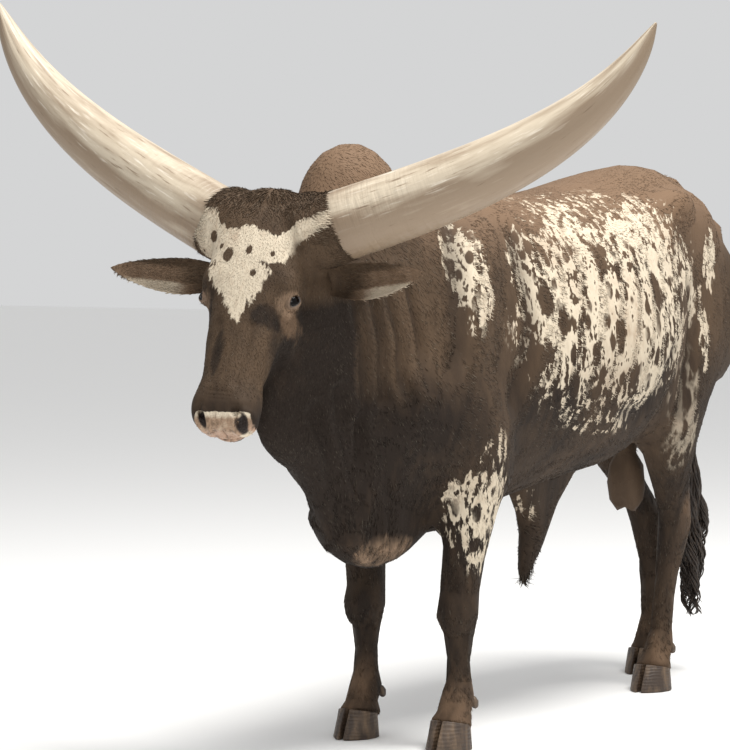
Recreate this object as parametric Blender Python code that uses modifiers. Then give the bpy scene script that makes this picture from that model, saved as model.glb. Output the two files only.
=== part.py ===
"""Ankole-Watusi bull, life size, standing still, as a museum shows one.

The bull faces -Y and its left side is +X. Lengths are in metres. It stands on
its eight claws at z = 0, with the origin under the middle of its outer box.
Heights are above the floor. Places along the body are measured backwards from
a line under the fore feet until the last step, which moves the origin.
"""
import math
import random

import bmesh
import bpy
from mathutils import Matrix, Vector

# Gap kept between two pieces that touch
GAP = 0.0003
SEED = 41

# Body: heights, places and half widths
BACK_TOP = 1.375
HIP_TOP = 1.462
CHEST_FLOOR = 0.525
BELLY_FLOOR = 0.635
BARREL_HALF = 0.325
HUMP_TOP = 1.498
HUMP_PLACE = -0.27
HUMP_HALF = 0.125
HUMP_REACH = 0.225
TAIL_HEAD = 1.40

# Feet: where each hoof stands, side to side and along the body
FORE_FOOT_SIDE = 0.147
FORE_FOOT_LEFT = -0.045
FORE_FOOT_RIGHT = -0.018
HIND_FOOT_SIDE = 0.090
HIND_FOOT_LEFT = 1.09
HIND_FOOT_RIGHT = 1.380
HIND_FOOT_EVEN = 1.235
HIP_HEIGHT = 1.05
SHOULDER_HEIGHT = 0.95
LIMB_TOP = 0.56

# Head: the poll, the way it looks, and the slope of the face
POLL = Vector((-0.020, -0.55, 1.33))
HEAD_TURN = math.radians(13)
HEAD_ROLL = math.radians(3.3)
FACE_SLOPE = math.radians(63)
EYE_RADIUS = 0.021
EYE_PLACE = (0.103, 0.245, 0.018)
NOSTRIL_SPREAD = 0.047

# Horns: base, sweep and thickness
HORN_ROOT = 0.095
HORN_SPAN = 0.868
HORN_SINK = -0.060
HORN_RISE = 0.53
HORN_BACK = 0.15
HORN_RADIUS = 0.084
HORN_SET = -0.018
HORN_TURN = math.radians(-4)

# Ears
EAR_LENGTH = 0.295
EAR_HALF = 0.051
EAR_WALL = 0.005
EAR_LIFT_LEFT = 0.040
EAR_DROOP = 0.012

# Hooves
CLAW_WIDTH = 0.052
CLAW_TOE = 0.082
CLAW_HEEL = 0.047
CLAW_SPLIT = 0.005
CORONET = 0.066
CORONET_SLOPE = 0.22

# Tail
TAIL_REAR = 1.455
TAIL_RADIUS = 0.027
TAIL_END = 0.60
SWITCH_SIDE = 0.018
SWITCH_TIP = 0.13
LOCKS = 15

# Melting of the masses: grain, rounds of smoothing and triangles left
BODY_GRAIN, BODY_ROUNDS = 0.018, 12
FLESH_GRAIN, FLESH_ROUNDS, FLESH_TRIANGLES = 0.011, 7, 4900
HEAD_GRAIN, HEAD_ROUNDS, HEAD_TRIANGLES = 0.0055, 5, 3000
SCROTUM_GRAIN, SCROTUM_ROUNDS, SCROTUM_TRIANGLES = 0.008, 3, 320

# Width of the thin cuts that part the flesh
KERF = GAP * 1.4

# Colour and roughness of each kind of piece
COAT = ((0.055, 0.034, 0.021), 0.75)
DARK = ((0.030, 0.020, 0.014), 0.80)
SKIN = ((0.20, 0.12, 0.08), 0.60)
HORN = ((0.62, 0.52, 0.38), 0.40)
HOOF = ((0.075, 0.055, 0.040), 0.50)
EYE = ((0.012, 0.008, 0.006), 0.08)

parts = bpy.data.collections.new("ankole_watusi_bull")
cutters = bpy.data.collections.new("cutters")


def clear_scene():
    """Remove whatever the scene holds."""
    for item in list(bpy.data.objects):
        bpy.data.objects.remove(item, do_unlink=True)


def add_object(name, mesh, collection=parts):
    """Put a mesh in the scene under a name."""
    item = bpy.data.objects.new(name, mesh)
    collection.objects.link(item)
    if collection == cutters:
        item.hide_render = True
        item.display_type = "WIRE"
    return item


def paint(item, colour, roughness):
    """Give a piece its own plain material."""
    finish = bpy.data.materials.new(item.name)
    finish.use_nodes = True
    shader = finish.node_tree.nodes["Principled BSDF"]
    shader.inputs["Base Color"].default_value = (*colour, 1.0)
    shader.inputs["Roughness"].default_value = roughness
    item.data.materials.clear()
    item.data.materials.append(finish)


def settle(item):
    """Apply a piece's modifiers to its mesh."""
    graph = bpy.context.evaluated_depsgraph_get()
    solid = bpy.data.meshes.new_from_object(item.evaluated_get(graph))
    item.modifiers.clear()
    item.data = solid
    return item


def between(before, start, end, after, part):
    """Catmull-Rom value between start and end."""
    return 0.5 * (
        2 * start
        + (end - before) * part
        + (2 * before - 5 * start + 4 * end - after) * part ** 2
        + (3 * start - before - 3 * end + after) * part ** 3
    )


def finer(stations, steps):
    """Stations with others set smoothly between them."""
    result = []
    last = len(stations) - 1
    for index in range(last):
        four = [stations[max(index - 1, 0)], stations[index],
                stations[index + 1], stations[min(index + 2, last)]]
        for step in range(steps):
            result.append([between(*values, step / steps) for values in zip(*four)])
    result.append(list(stations[last]))
    return result


def section(centre, across, upward, half, rise, drop, power=2.0, pinch=0.0, count=24):
    """One closed section: half wide, its rise and drop unlike, its underside pinched."""
    points = []
    for index in range(count):
        angle = math.tau * index / count
        side, high = math.cos(angle), math.sin(angle)
        reach = half * math.copysign(abs(side) ** (2 / power), side)
        if high < 0:
            reach *= 1 - pinch * -high
        tall = (rise if high > 0 else drop) * math.copysign(abs(high) ** (2 / power), high)
        points.append(centre + across * reach + upward * tall)
    return points


def loft(name, rings, collection=cutters):
    """A closed solid through rings of points."""
    shape = bmesh.new()
    rows = [[shape.verts.new(point) for point in ring] for ring in rings]
    count = len(rows[0])
    for row, following in zip(rows, rows[1:]):
        for index in range(count):
            after = (index + 1) % count
            shape.faces.new((row[index], row[after], following[after], following[index]))
    shape.faces.new(rows[0])
    shape.faces.new(rows[-1][::-1])
    bmesh.ops.recalc_face_normals(shape, faces=shape.faces)
    bmesh.ops.triangulate(shape, faces=shape.faces)
    mesh = bpy.data.meshes.new(name)
    shape.to_mesh(mesh)
    shape.free()
    return add_object(name, mesh, collection)


def ball(name, place, half, turn=None, collection=cutters, segments=24):
    """An ellipsoid of half sizes, turned about its middle."""
    shape = bmesh.new()
    bmesh.ops.create_uvsphere(shape, u_segments=segments, v_segments=segments // 2, radius=1.0)
    bmesh.ops.triangulate(shape, faces=shape.faces)
    spin = turn.to_4x4() if turn else Matrix.Identity(4)
    stretch = Matrix.Diagonal((*half, 1.0))
    bmesh.ops.transform(shape, matrix=Matrix.Translation(place) @ spin @ stretch, verts=shape.verts)
    mesh = bpy.data.meshes.new(name)
    shape.to_mesh(mesh)
    shape.free()
    return add_object(name, mesh, collection)


def plank(name, place, size, turn):
    """A thin turned box that parts two pieces."""
    shape = bmesh.new()
    bmesh.ops.create_cube(shape, size=1.0)
    bmesh.ops.scale(shape, vec=size, verts=shape.verts)
    bmesh.ops.transform(shape, matrix=Matrix.Translation(place) @ turn.to_4x4(), verts=shape.verts)
    mesh = bpy.data.meshes.new(name)
    shape.to_mesh(mesh)
    shape.free()
    return add_object(name, mesh, cutters)


def fuse(name, pieces, voxel, smoothing, triangles=None, collection=parts):
    """Melt overlapping masses into one smooth skin, thinned to about so many triangles."""
    shape = bmesh.new()
    for piece in pieces:
        shape.from_mesh(piece.data)
    mesh = bpy.data.meshes.new(name)
    shape.to_mesh(mesh)
    shape.free()
    whole = add_object(name, mesh, collection)
    remesh = whole.modifiers.new("remesh", "REMESH")
    remesh.mode = "VOXEL"
    remesh.voxel_size = voxel
    soften = whole.modifiers.new("soften", "SMOOTH")
    soften.factor = 0.5
    soften.iterations = smoothing
    settle(whole)
    if triangles is None:
        return whole
    whole.data.calc_loop_triangles()
    thin = whole.modifiers.new("thin", "DECIMATE")
    thin.ratio = min(1.0, triangles / len(whole.data.loop_triangles))
    whole.modifiers.new("facets", "TRIANGULATE")
    return settle(whole)


def swollen(item, gap):
    """A copy of a closed piece, larger by the gap all round."""
    copy = add_object(item.name + "_bed", item.data.copy(), cutters)
    shape = bmesh.new()
    shape.from_mesh(copy.data)
    shape.normal_update()
    moved = [vertex.co + vertex.normal * gap * vertex.calc_shell_factor() for vertex in shape.verts]
    for vertex, place in zip(shape.verts, moved):
        vertex.co = place
    shape.to_mesh(copy.data)
    shape.free()
    return copy


def cut(host, tools, operation="DIFFERENCE"):
    """Cut the host with each tool, or join the tools to it, and keep its largest body."""
    for tool in tools:
        change = host.modifiers.new(tool.name, "BOOLEAN")
        change.operation = operation
        change.solver = "EXACT"
        change.object = tool
        settle(host)
    keep_largest(host)
    return host


def join(host, pieces):
    """Join many closed pieces to their host in one union."""
    group = bpy.data.collections.new(host.name + "_pieces")
    bpy.context.scene.collection.children.link(group)
    for piece in pieces:
        cutters.objects.unlink(piece)
        group.objects.link(piece)
    change = host.modifiers.new("join", "BOOLEAN")
    change.operation = "UNION"
    change.solver = "MANIFOLD"
    change.operand_type = "COLLECTION"
    change.collection = group
    settle(host)
    for piece in list(group.objects):
        bpy.data.objects.remove(piece, do_unlink=True)
    bpy.data.collections.remove(group)
    keep_largest(host)
    return host


def islands(shape):
    """The separate closed bodies of a mesh, as sets of its faces."""
    left = set(shape.faces)
    found = []
    while left:
        seed = left.pop()
        body = {seed}
        edge = [seed]
        while edge:
            face = edge.pop()
            for side in face.edges:
                for near in side.link_faces:
                    if near in left:
                        left.remove(near)
                        body.add(near)
                        edge.append(near)
        found.append(body)
    return found


def signed_volume(faces):
    """Volume that a closed set of faces holds."""
    total = 0.0
    for face in faces:
        first = face.verts[0].co
        for one, two in zip(face.verts[1:], face.verts[2:]):
            total += first.dot(one.co.cross(two.co)) / 6
    return total


def keep_largest(item):
    """Drop everything but the largest closed body."""
    shape = bmesh.new()
    shape.from_mesh(item.data)
    bodies = sorted(islands(shape), key=signed_volume, reverse=True)
    for body in bodies[1:]:
        bmesh.ops.delete(shape, geom=list(body), context="FACES")
    loose = [vertex for vertex in shape.verts if not vertex.link_faces]
    bmesh.ops.delete(shape, geom=loose, context="VERTS")
    shape.to_mesh(item.data)
    shape.free()


def part_out(whole, planks, names):
    """Part the whole with thin planks and name each body by the place it is nearest."""
    for tool in planks:
        change = whole.modifiers.new(tool.name, "BOOLEAN")
        change.operation = "DIFFERENCE"
        change.solver = "EXACT"
        change.object = tool
        settle(whole)
    source = bmesh.new()
    source.from_mesh(whole.data)
    found = {}
    for body in islands(source):
        size = signed_volume(body)
        middle = Vector()
        for face in body:
            middle += face.calc_center_median() / len(body)
        name = min(names, key=lambda key: (middle - Vector(names[key])).length)
        if name not in found or size > found[name][0]:
            found[name] = (size, body)
    pieces = {}
    for name, (size, body) in found.items():
        shape = bmesh.new()
        link = {}
        for face in body:
            for vertex in face.verts:
                if vertex not in link:
                    link[vertex] = shape.verts.new(vertex.co)
            shape.faces.new([link[vertex] for vertex in face.verts])
        mesh = bpy.data.meshes.new(name)
        shape.to_mesh(mesh)
        shape.free()
        pieces[name] = add_object(name, mesh)
    source.free()
    bpy.data.objects.remove(whole, do_unlink=True)
    return pieces


def body_point(side, along, height):
    """A point of the body from its side, its place along the body and its height."""
    return Vector((side, along, height))


def trunk():
    """Barrel, chest and rump, from breast to pin bones."""
    stations = [
        # along, top, bottom, widest height, half width, power, pinch of the underside
        (-0.345, 1.02, 0.66, 0.84, 0.085, 2.0, 0.2),
        (-0.29, 1.16, 0.57, 0.84, 0.150, 2.1, 0.3),
        (-0.16, 1.31, 0.50, 0.86, 0.200, 2.2, 0.4),
        (0.05, 1.375, CHEST_FLOOR, 0.90, 0.225, 2.2, 0.40),
        (0.35, BACK_TOP, 0.575, 0.94, 0.285, 2.15, 0.25),
        (0.62, 1.39, 0.615, 0.98, BARREL_HALF, 2.15, 0.15),
        (0.82, 1.425, BELLY_FLOOR, 1.01, 0.305, 2.2, 0.12),
        (0.98, 1.452, 0.69, 1.06, 0.262, 2.2, 0.15),
        (1.12, HIP_TOP, 0.78, 1.12, 0.225, 2.15, 0.2),
        (1.25, 1.430, 0.87, 1.15, 0.190, 2.1, 0.2),
        (1.345, 1.365, 0.96, 1.16, 0.150, 2.0, 0.2),
        (1.405, 1.26, 1.05, 1.16, 0.080, 2.0, 0.2),
    ]
    rings = []
    across, upward = Vector((1, 0, 0)), Vector((0, 0, 1))
    for along, top, bottom, widest, half, power, pinch in finer(stations, 5):
        centre = body_point(0, along, widest)
        rings.append(section(centre, across, upward, half, top - widest, widest - bottom, power, pinch))
    return loft("trunk_mass", rings)


def neck():
    """Neck from the withers to the back of the skull, thick and deep as a bull's is."""
    stations = [
        # along, height, half width, rise, drop, power, tilt in degrees
        (0.06, 1.02, 0.200, 0.33, 0.40, 2.1, 8),
        (-0.14, 1.06, 0.190, 0.335, 0.42, 2.1, 20),
        (-0.28, 1.08, 0.168, 0.325, 0.42, 2.1, 28),
        (-0.40, 1.11, 0.136, 0.285, 0.37, 2.1, 28),
        (-0.50, 1.14, 0.114, 0.225, 0.30, 2.1, 26),
        (-0.56, 1.18, 0.105, 0.165, 0.20, 2.1, 26),
    ]
    rings = []
    for along, height, half, rise, drop, power, tilt in finer(stations, 5):
        lean = math.radians(tilt)
        upward = Vector((0, math.sin(lean) * 0.6, math.cos(lean))).normalized()
        centre = body_point(0, along, height)
        rings.append(section(centre, Vector((1, 0, 0)), upward, half, rise, drop, power, 0.35))
    return loft("neck_mass", rings)


def hump():
    """Hump over the front of the withers."""
    middle = HUMP_TOP - 0.19
    dome = ball("hump_mass", body_point(0, HUMP_PLACE, middle), (HUMP_HALF, HUMP_REACH * 0.72, 0.19))
    saddle = ball("hump_rear", body_point(0, HUMP_PLACE + 0.20, 1.26), (0.095, 0.26, 0.15))
    return [dome, saddle]


def dewlap():
    """Fold of skin from the throat down over the breast to the brisket."""
    stations = [
        # along, height of the lower edge, half thickness, depth of the fold, lean in degrees
        (-0.655, 0.880, 0.024, 0.12, 20),
        (-0.645, 0.800, 0.036, 0.20, 30),
        (-0.580, 0.738, 0.052, 0.28, 35),
        (-0.490, 0.695, 0.064, 0.28, 35),
        (-0.410, 0.615, 0.068, 0.26, 35),
        (-0.345, 0.505, 0.086, 0.26, 32),
        (-0.230, 0.450, 0.098, 0.22, 25),
        (-0.110, 0.456, 0.100, 0.16, 12),
        (0.010, 0.510, 0.080, 0.12, 0),
    ]
    rings = []
    for along, edge, half, depth, lean in finer(stations, 4):
        upward = Vector((0, math.sin(math.radians(lean)), math.cos(math.radians(lean))))
        middle = body_point(0, along, edge) + upward * half * 1.2
        rings.append(section(middle, Vector((1, 0, 0)), upward, half, depth, half * 1.2, 2.0, 0.1))
    return loft("dewlap_mass", rings)


def fore_shift(side, height):
    """How far a foreleg is set forward at a height."""
    foot = FORE_FOOT_LEFT if side > 0 else FORE_FOOT_RIGHT
    return foot * max(0.0, 1 - (height / SHOULDER_HEIGHT) ** 2)


def fore_leg(side, top=1.0):
    """One foreleg, from the shoulder or a lower height to just under the coronet."""
    foot = FORE_FOOT_SIDE
    stations = [
        # height, side, along, half width, front, back
        (0.045, foot, 0.000, 0.060, 0.060, 0.055),
        (0.090, foot, 0.014, 0.045, 0.045, 0.045),
        (0.125, foot, 0.032, 0.045, 0.043, 0.047),
        (0.165, foot, 0.036, 0.034, 0.036, 0.038),
        (0.220, foot, 0.036, 0.030, 0.034, 0.035),
        (0.280, foot, 0.035, 0.038, 0.039, 0.041),
        (0.330, foot, 0.030, 0.051, 0.049, 0.050),
        (0.380, foot, 0.032, 0.049, 0.047, 0.052),
        (0.460, foot + 0.006, 0.036, 0.053, 0.055, 0.060),
        (0.560, foot + 0.014, 0.040, 0.064, 0.070, 0.082),
        (0.660, foot + 0.022, 0.040, 0.077, 0.100, 0.115),
        (0.760, foot + 0.026, 0.020, 0.084, 0.145, 0.150),
        (0.880, foot + 0.020, -0.010, 0.080, 0.165, 0.170),
    ]
    rings = []
    for height, out, along, half, front, back in finer(stations, 4):
        if height > top:
            break
        centre = body_point(side * out, along + fore_shift(side, height), height)
        rings.append(section(centre, Vector((1, 0, 0)), Vector((0, -1, 0)), half, front, back, 2.1))
    knee = body_point(side * foot, -0.006 + fore_shift(side, 0.33), 0.335)
    return [loft("fore_leg_mass", rings), ball("knee", knee, (0.040, 0.028, 0.050))]


def shoulder(side):
    """Muscle over the shoulder blade, the point of the shoulder, the upper arm and the elbow."""
    blade = Matrix.Rotation(math.radians(-20), 3, "X")
    return [
        ball("shoulder", body_point(side * 0.150, -0.02, 1.03), (0.085, 0.150, 0.31), blade),
        ball("shoulder_point", body_point(side * 0.140, -0.215, 0.87), (0.070, 0.080, 0.12)),
        ball("upper_arm", body_point(side * 0.158, -0.05, 0.83), (0.088, 0.18, 0.17)),
        ball("elbow", body_point(side * 0.180, 0.110, 0.70), (0.055, 0.060, 0.10)),
        ball("forearm", body_point(side * 0.172, 0.01, 0.60), (0.064, 0.076, 0.12)),
    ]


def hind_shift(side, height):
    """How far a hind leg is set forward or back at a height."""
    foot = HIND_FOOT_LEFT if side > 0 else HIND_FOOT_RIGHT
    weight = max(0.0, 1 - (height / HIP_HEIGHT) ** 2.2)
    return (foot - HIND_FOOT_EVEN) * weight


def hind_leg(side, top=1.3):
    """One hind leg, from the hip or a lower height to just under the coronet."""
    foot = HIND_FOOT_SIDE
    stations = [
        # height, side, along, half width, front, back
        (0.045, foot, 1.235, 0.059, 0.060, 0.055),
        (0.090, foot + 0.001, 1.252, 0.043, 0.045, 0.045),
        (0.125, foot + 0.002, 1.273, 0.042, 0.042, 0.046),
        (0.165, foot + 0.003, 1.280, 0.032, 0.037, 0.039),
        (0.250, foot + 0.006, 1.284, 0.030, 0.037, 0.037),
        (0.340, foot + 0.012, 1.288, 0.034, 0.043, 0.045),
        (0.410, foot + 0.020, 1.292, 0.042, 0.056, 0.056),
        (0.465, foot + 0.026, 1.286, 0.044, 0.058, 0.068),
        (0.520, foot + 0.035, 1.250, 0.042, 0.056, 0.082),
        (0.590, foot + 0.047, 1.200, 0.054, 0.072, 0.092),
        (0.680, 0.150, 1.150, 0.070, 0.098, 0.115),
        (0.790, 0.158, 1.115, 0.085, 0.145, 0.175),
        (0.920, 0.155, 1.140, 0.098, 0.185, 0.220),
        (1.060, 0.145, 1.180, 0.105, 0.200, 0.205),
        (1.200, 0.130, 1.190, 0.095, 0.170, 0.160),
    ]
    rings = []
    for height, out, along, half, front, back in finer(stations, 4):
        if height > top:
            break
        centre = body_point(side * out, along + hind_shift(side, height), height)
        rings.append(section(centre, Vector((1, 0, 0)), Vector((0, -1, 0)), half, front, back, 2.1))
    heel = body_point(side * 0.116, 1.345 + hind_shift(side, 0.47), 0.475)
    return [loft("hind_leg_mass", rings), ball("hock_point", heel, (0.020, 0.018, 0.036))]


def quarter(side):
    """Muscle and bone of one hind quarter: stifle, hip, pin bone, buttock and rump."""
    stifle = body_point(side * 0.170, 1.01 + hind_shift(side, 0.84), 0.84)
    return [
        ball("stifle", stifle, (0.068, 0.085, 0.12)),
        ball("hook_bone", body_point(side * 0.200, 0.99, 1.340), (0.060, 0.095, 0.060)),
        ball("pin_bone", body_point(side * 0.105, 1.375, 1.255), (0.055, 0.055, 0.070)),
        ball("buttock", body_point(side * 0.150, 1.305, 1.05), (0.088, 0.108, 0.22)),
        ball("rump", body_point(side * 0.140, 1.11, 1.235), (0.100, 0.20, 0.165)),
    ]


def head_place():
    """Turn from the head's own axes (left, back, up) to the body's."""
    turn = Matrix.Rotation(HEAD_TURN, 3, "Z")
    roll = Matrix.Rotation(HEAD_ROLL, 3, "Y")
    return turn @ roll


HEAD = head_place()


def head_point(side, back, rise):
    """A point from the poll: to the left, backwards and up."""
    return POLL + HEAD @ Vector((side, back, rise))


def face_point(side, down, front):
    """A point of the face: to the left, down the face from the poll, and out from its middle line."""
    back = -(down * math.cos(FACE_SLOPE) + front * math.sin(FACE_SLOPE))
    rise = -down * math.sin(FACE_SLOPE) + front * math.cos(FACE_SLOPE)
    return head_point(side, back, rise)


def face_axis(side, down, front):
    """A direction given as face_point gives a place."""
    return (face_point(side, down, front) - POLL).normalized()


def face_turn():
    """Turn to the axes of the face: to the left, up the face, and out of it."""
    return Matrix((face_axis(1, 0, 0), face_axis(0, -1, 0), face_axis(0, 0, 1))).transposed()


def skull():
    """Head from the poll to the muzzle, with jaws, cheeks and brows."""
    across, outward = face_axis(1, 0, 0), face_axis(0, 0, 1)
    stations = [
        # down the face, half width, front, back, power, pinch of the jaw
        (-0.030, 0.060, 0.030, 0.050, 2.0, 0.0),
        (0.000, 0.112, 0.056, 0.105, 2.3, 0.0),
        (0.060, 0.130, 0.076, 0.150, 2.4, 0.1),
        (0.130, 0.128, 0.082, 0.175, 2.4, 0.25),
        (0.200, 0.118, 0.080, 0.185, 2.4, 0.40),
        (0.265, 0.106, 0.074, 0.178, 2.4, 0.45),
        (0.330, 0.092, 0.068, 0.150, 2.4, 0.45),
        (0.400, 0.078, 0.063, 0.114, 2.4, 0.40),
        (0.455, 0.072, 0.061, 0.088, 2.4, 0.30),
        (0.500, 0.075, 0.059, 0.078, 2.5, 0.25),
        (0.535, 0.077, 0.054, 0.070, 2.5, 0.25),
        (0.560, 0.067, 0.042, 0.056, 2.3, 0.25),
        (0.573, 0.046, 0.024, 0.036, 2.0, 0.25),
    ]
    rings = []
    for down, half, front, back, power, pinch in finer(stations, 4):
        rings.append(section(face_point(0, down, 0), across, outward, half, front, back, power, pinch))
    pieces = [loft("skull_mass", rings)]
    spin = face_turn()
    pieces.append(ball("poll", face_point(0, 0.005, 0.002), (0.105, 0.052, 0.062), spin))
    pieces.append(ball("chin", face_point(0, 0.535, -0.055), (0.042, 0.036, 0.030), spin))
    for side in (1, -1):
        pieces.append(ball("brow", face_point(side * 0.084, 0.212, 0.030), (0.036, 0.056, 0.030), spin))
        pieces.append(ball("cheek", face_point(side * 0.066, 0.265, -0.055), (0.038, 0.090, 0.080), spin))
        pieces.append(ball("jaw", face_point(side * 0.048, 0.21, -0.115), (0.038, 0.095, 0.066), spin))
        pieces.append(ball("horn_seat", head_point(side * 0.100, -0.006, -0.050), (0.092, 0.098, 0.098)))
        pieces.append(ball("wing", face_point(side * 0.044, 0.515, 0.020), (0.030, 0.038, 0.036), spin))
        pieces.append(ball("lid", eye_place(side), [EYE_RADIUS + 0.0045] * 3))
    return pieces


def eye_place(side):
    """Middle of one eyeball."""
    out, down, front = EYE_PLACE
    return face_point(side * out, down, front)


def eye(name, side):
    """One eyeball, whole."""
    return ball(name, eye_place(side), [EYE_RADIUS] * 3, None, parts, 14)


def lid_opening(side):
    """The almond opening between the lids, tilted down towards the nose."""
    out = face_axis(side * 1.0, 0.0, 0.42)
    slit = face_axis(side * -0.30, 0.62, 0.55)
    slit = (slit - out * slit.dot(out)).normalized()
    turn = Matrix((slit, out.cross(slit), out)).transposed()
    place = eye_place(side) + out * EYE_RADIUS
    return ball("lid_opening", place, (0.0185, 0.0120, 0.018), turn, cutters, 16)


def mouth_line():
    """Thin wedge round the muzzle that parts the lips."""
    spin = face_turn()
    tilt = Matrix.Rotation(math.radians(12), 3, "X")
    place = face_point(0, 0.520, -0.030)
    outer = plank("mouth_line", place, (0.20, 0.17, 0.003), spin @ tilt)
    core = ball("mouth_core", face_point(0, 0.475, -0.026), (0.056, 0.085, 0.035), spin)
    return cut(outer, [core])


def nostril(side):
    """One nostril, a comma that opens forwards and out."""
    turn = face_turn() @ Matrix.Rotation(math.radians(32 * side), 3, "Z")
    place = face_point(side * NOSTRIL_SPREAD, 0.536, 0.042)
    return ball("nostril", place, (0.012, 0.018, 0.024), turn, cutters, 12)


def horn(name, side, sides=16):
    """One horn: out from the poll, then back and up to its tip."""
    rings = []
    steps = 20
    points = []
    turn = Matrix.Rotation(HORN_TURN, 3, "Z")
    for step in range(steps + 1):
        part = step / steps
        out = HORN_ROOT + (HORN_SPAN - HORN_ROOT) * math.sin(part * 1.25) / math.sin(1.25)
        rise = HORN_SINK + HORN_RISE * (0.755 * part + 0.245 * part ** 3)
        back = HORN_BACK * math.sin(part * math.pi / 2) + HORN_SET
        points.append(POLL + HEAD @ turn @ Vector((side * out, back, rise)))
    for step, point in enumerate(points):
        part = step / steps
        ahead = points[min(step + 1, steps)] - points[max(step - 1, 0)]
        along = ahead.normalized()
        upward = Vector((0, 1, 0)).cross(along).normalized()
        across = along.cross(upward)
        thick = HORN_RADIUS * (1 - part ** 2.6) ** 0.80 * (1 - 0.10 * part) + 0.003
        rings.append(section(point, across, upward, thick, thick, thick, 2.0, 0.0, sides))
    return loft(name, rings, parts)


def ear(name, side):
    """One ear: a leaf rolled to a cup, set out sideways with its opening forwards."""
    lift = EAR_LIFT_LEFT if side > 0 else 0.0
    root = head_point(side * 0.108, 0.012, -0.168)
    tip = head_point(side * 0.395, -0.048, -0.155 + lift)
    run = tip - root
    opening = HEAD @ Vector((side * 0.15, -0.93, -0.10))
    opening = (opening - run.normalized() * opening.dot(run.normalized())).normalized()
    across = run.normalized().cross(opening)
    rings = []
    steps = 11
    for step in range(steps + 1):
        part = step / steps
        half = EAR_HALF * (0.42 + 0.58 * math.sin(min(1.0, part * 1.9) * math.pi / 2))
        half *= (1 - part ** 2.6) ** 0.8 * 0.97 + 0.03
        depth = half * (0.86 - 0.42 * part)
        wall = min(depth * 0.999, EAR_WALL + depth * max(0.0, 1 - part * 6))
        droop = HEAD @ Vector((0, 0, -EAR_DROOP * math.sin(part * math.pi * 0.8)))
        centre = root + run * part * EAR_LENGTH / run.length + droop
        ring = []
        count = 9
        for index in range(count):
            angle = math.pi * index / (count - 1) - math.pi / 2
            ring.append(centre + across * half * math.sin(angle) - opening * depth * math.cos(angle))
        for index in range(1, count - 1):
            angle = math.pi / 2 - math.pi * index / (count - 1)
            inner = max(half - EAR_WALL, half * 0.5)
            lift = (depth - wall) * math.cos(angle)
            ring.append(centre + across * inner * math.sin(angle) - opening * lift)
        rings.append(ring)
    return loft(name, rings, parts)


def claw(name, side, along, split):
    """One claw of a hoof: flat inside, round outside, pointed in front, with a flat sole."""
    rings = []
    for level in (0.0, 0.06, 0.5, 1.0):
        ring = []
        sole = 0.95 if level == 0 else 1.0
        toe = CLAW_TOE * (1 - 0.40 * level) * sole
        heel = CLAW_HEEL * (1 - 0.06 * level) * sole
        for index in range(16):
            angle = math.tau * index / 16
            out, ahead = math.cos(angle), math.sin(angle)
            reach = CLAW_WIDTH * (0.94 * out if out > 0 else 0.10 * out) * (1 - 0.12 * level) * sole
            reach *= 1 - 0.40 * max(0.0, -ahead) ** 3
            place = along + (toe if ahead < 0 else heel) * ahead
            top = CORONET - CORONET_SLOPE * (place - along)
            x = side + split * (CLAW_SPLIT / 2 + 0.10 * CLAW_WIDTH + reach)
            ring.append(Vector((x, place, level * top)))
        rings.append(ring)
    return loft(name, rings, parts)


def dew_claw(name, side, along, split, height=0.112):
    """Small claw behind the fetlock."""
    turn = Matrix.Rotation(math.radians(28), 3, "X")
    place = body_point(side + split * 0.021, along + 0.076, height)
    return ball(name, place, (0.012, 0.012, 0.019), turn, parts, 8)


def tail(name):
    """Tail from its head down to where the switch starts."""
    rings = []
    steps = 16
    for step in range(steps + 1):
        part = step / steps
        bend = min(1.0, part * 2.6)
        along = 1.30 + (TAIL_REAR - 1.30) * math.sin(bend * math.pi / 2)
        drop = max(0.0, part - 0.10) / 0.90
        height = TAIL_HEAD - (TAIL_HEAD - TAIL_END) * drop ** 1.05
        side = 0.012 * math.sin(part * math.pi) + SWITCH_SIDE * part
        rings.append((body_point(side, along, height), TAIL_RADIUS * (1.25 - 0.75 * part ** 0.6)))
    points = [place for place, thick in rings]
    sections = []
    for index, (place, thick) in enumerate(rings):
        ahead = points[min(index + 1, steps)] - points[max(index - 1, 0)]
        along = ahead.normalized() if index < steps else Vector((0, 0, -1))
        across = Vector((1, 0, 0))
        sections.append(section(place, across, along.cross(across), thick, thick, thick, 2.0, 0.0, 10))
    return loft(name, sections, parts)


def lock(root, tip, width, sway):
    """One flat tapered lock of hair that bends on its way down."""
    rings = []
    run = tip - root
    facing = Vector((-run.y, run.x, 0.0))
    facing = facing.normalized() if facing.length > 1e-4 else Vector((1, 0, 0))
    thin = run.normalized().cross(facing)
    for part in (0.0, 0.3, 0.6, 0.85, 1.0):
        half = width * (0.70 + 0.9 * part) * (1 - part ** 2.4) + 0.0014
        place = root + run * part + sway * math.sin(part * math.pi)
        rings.append([place + facing * half, place + thin * half * 0.45,
                      place - facing * half, place - thin * half * 0.45])
    return loft("lock", rings)


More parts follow.
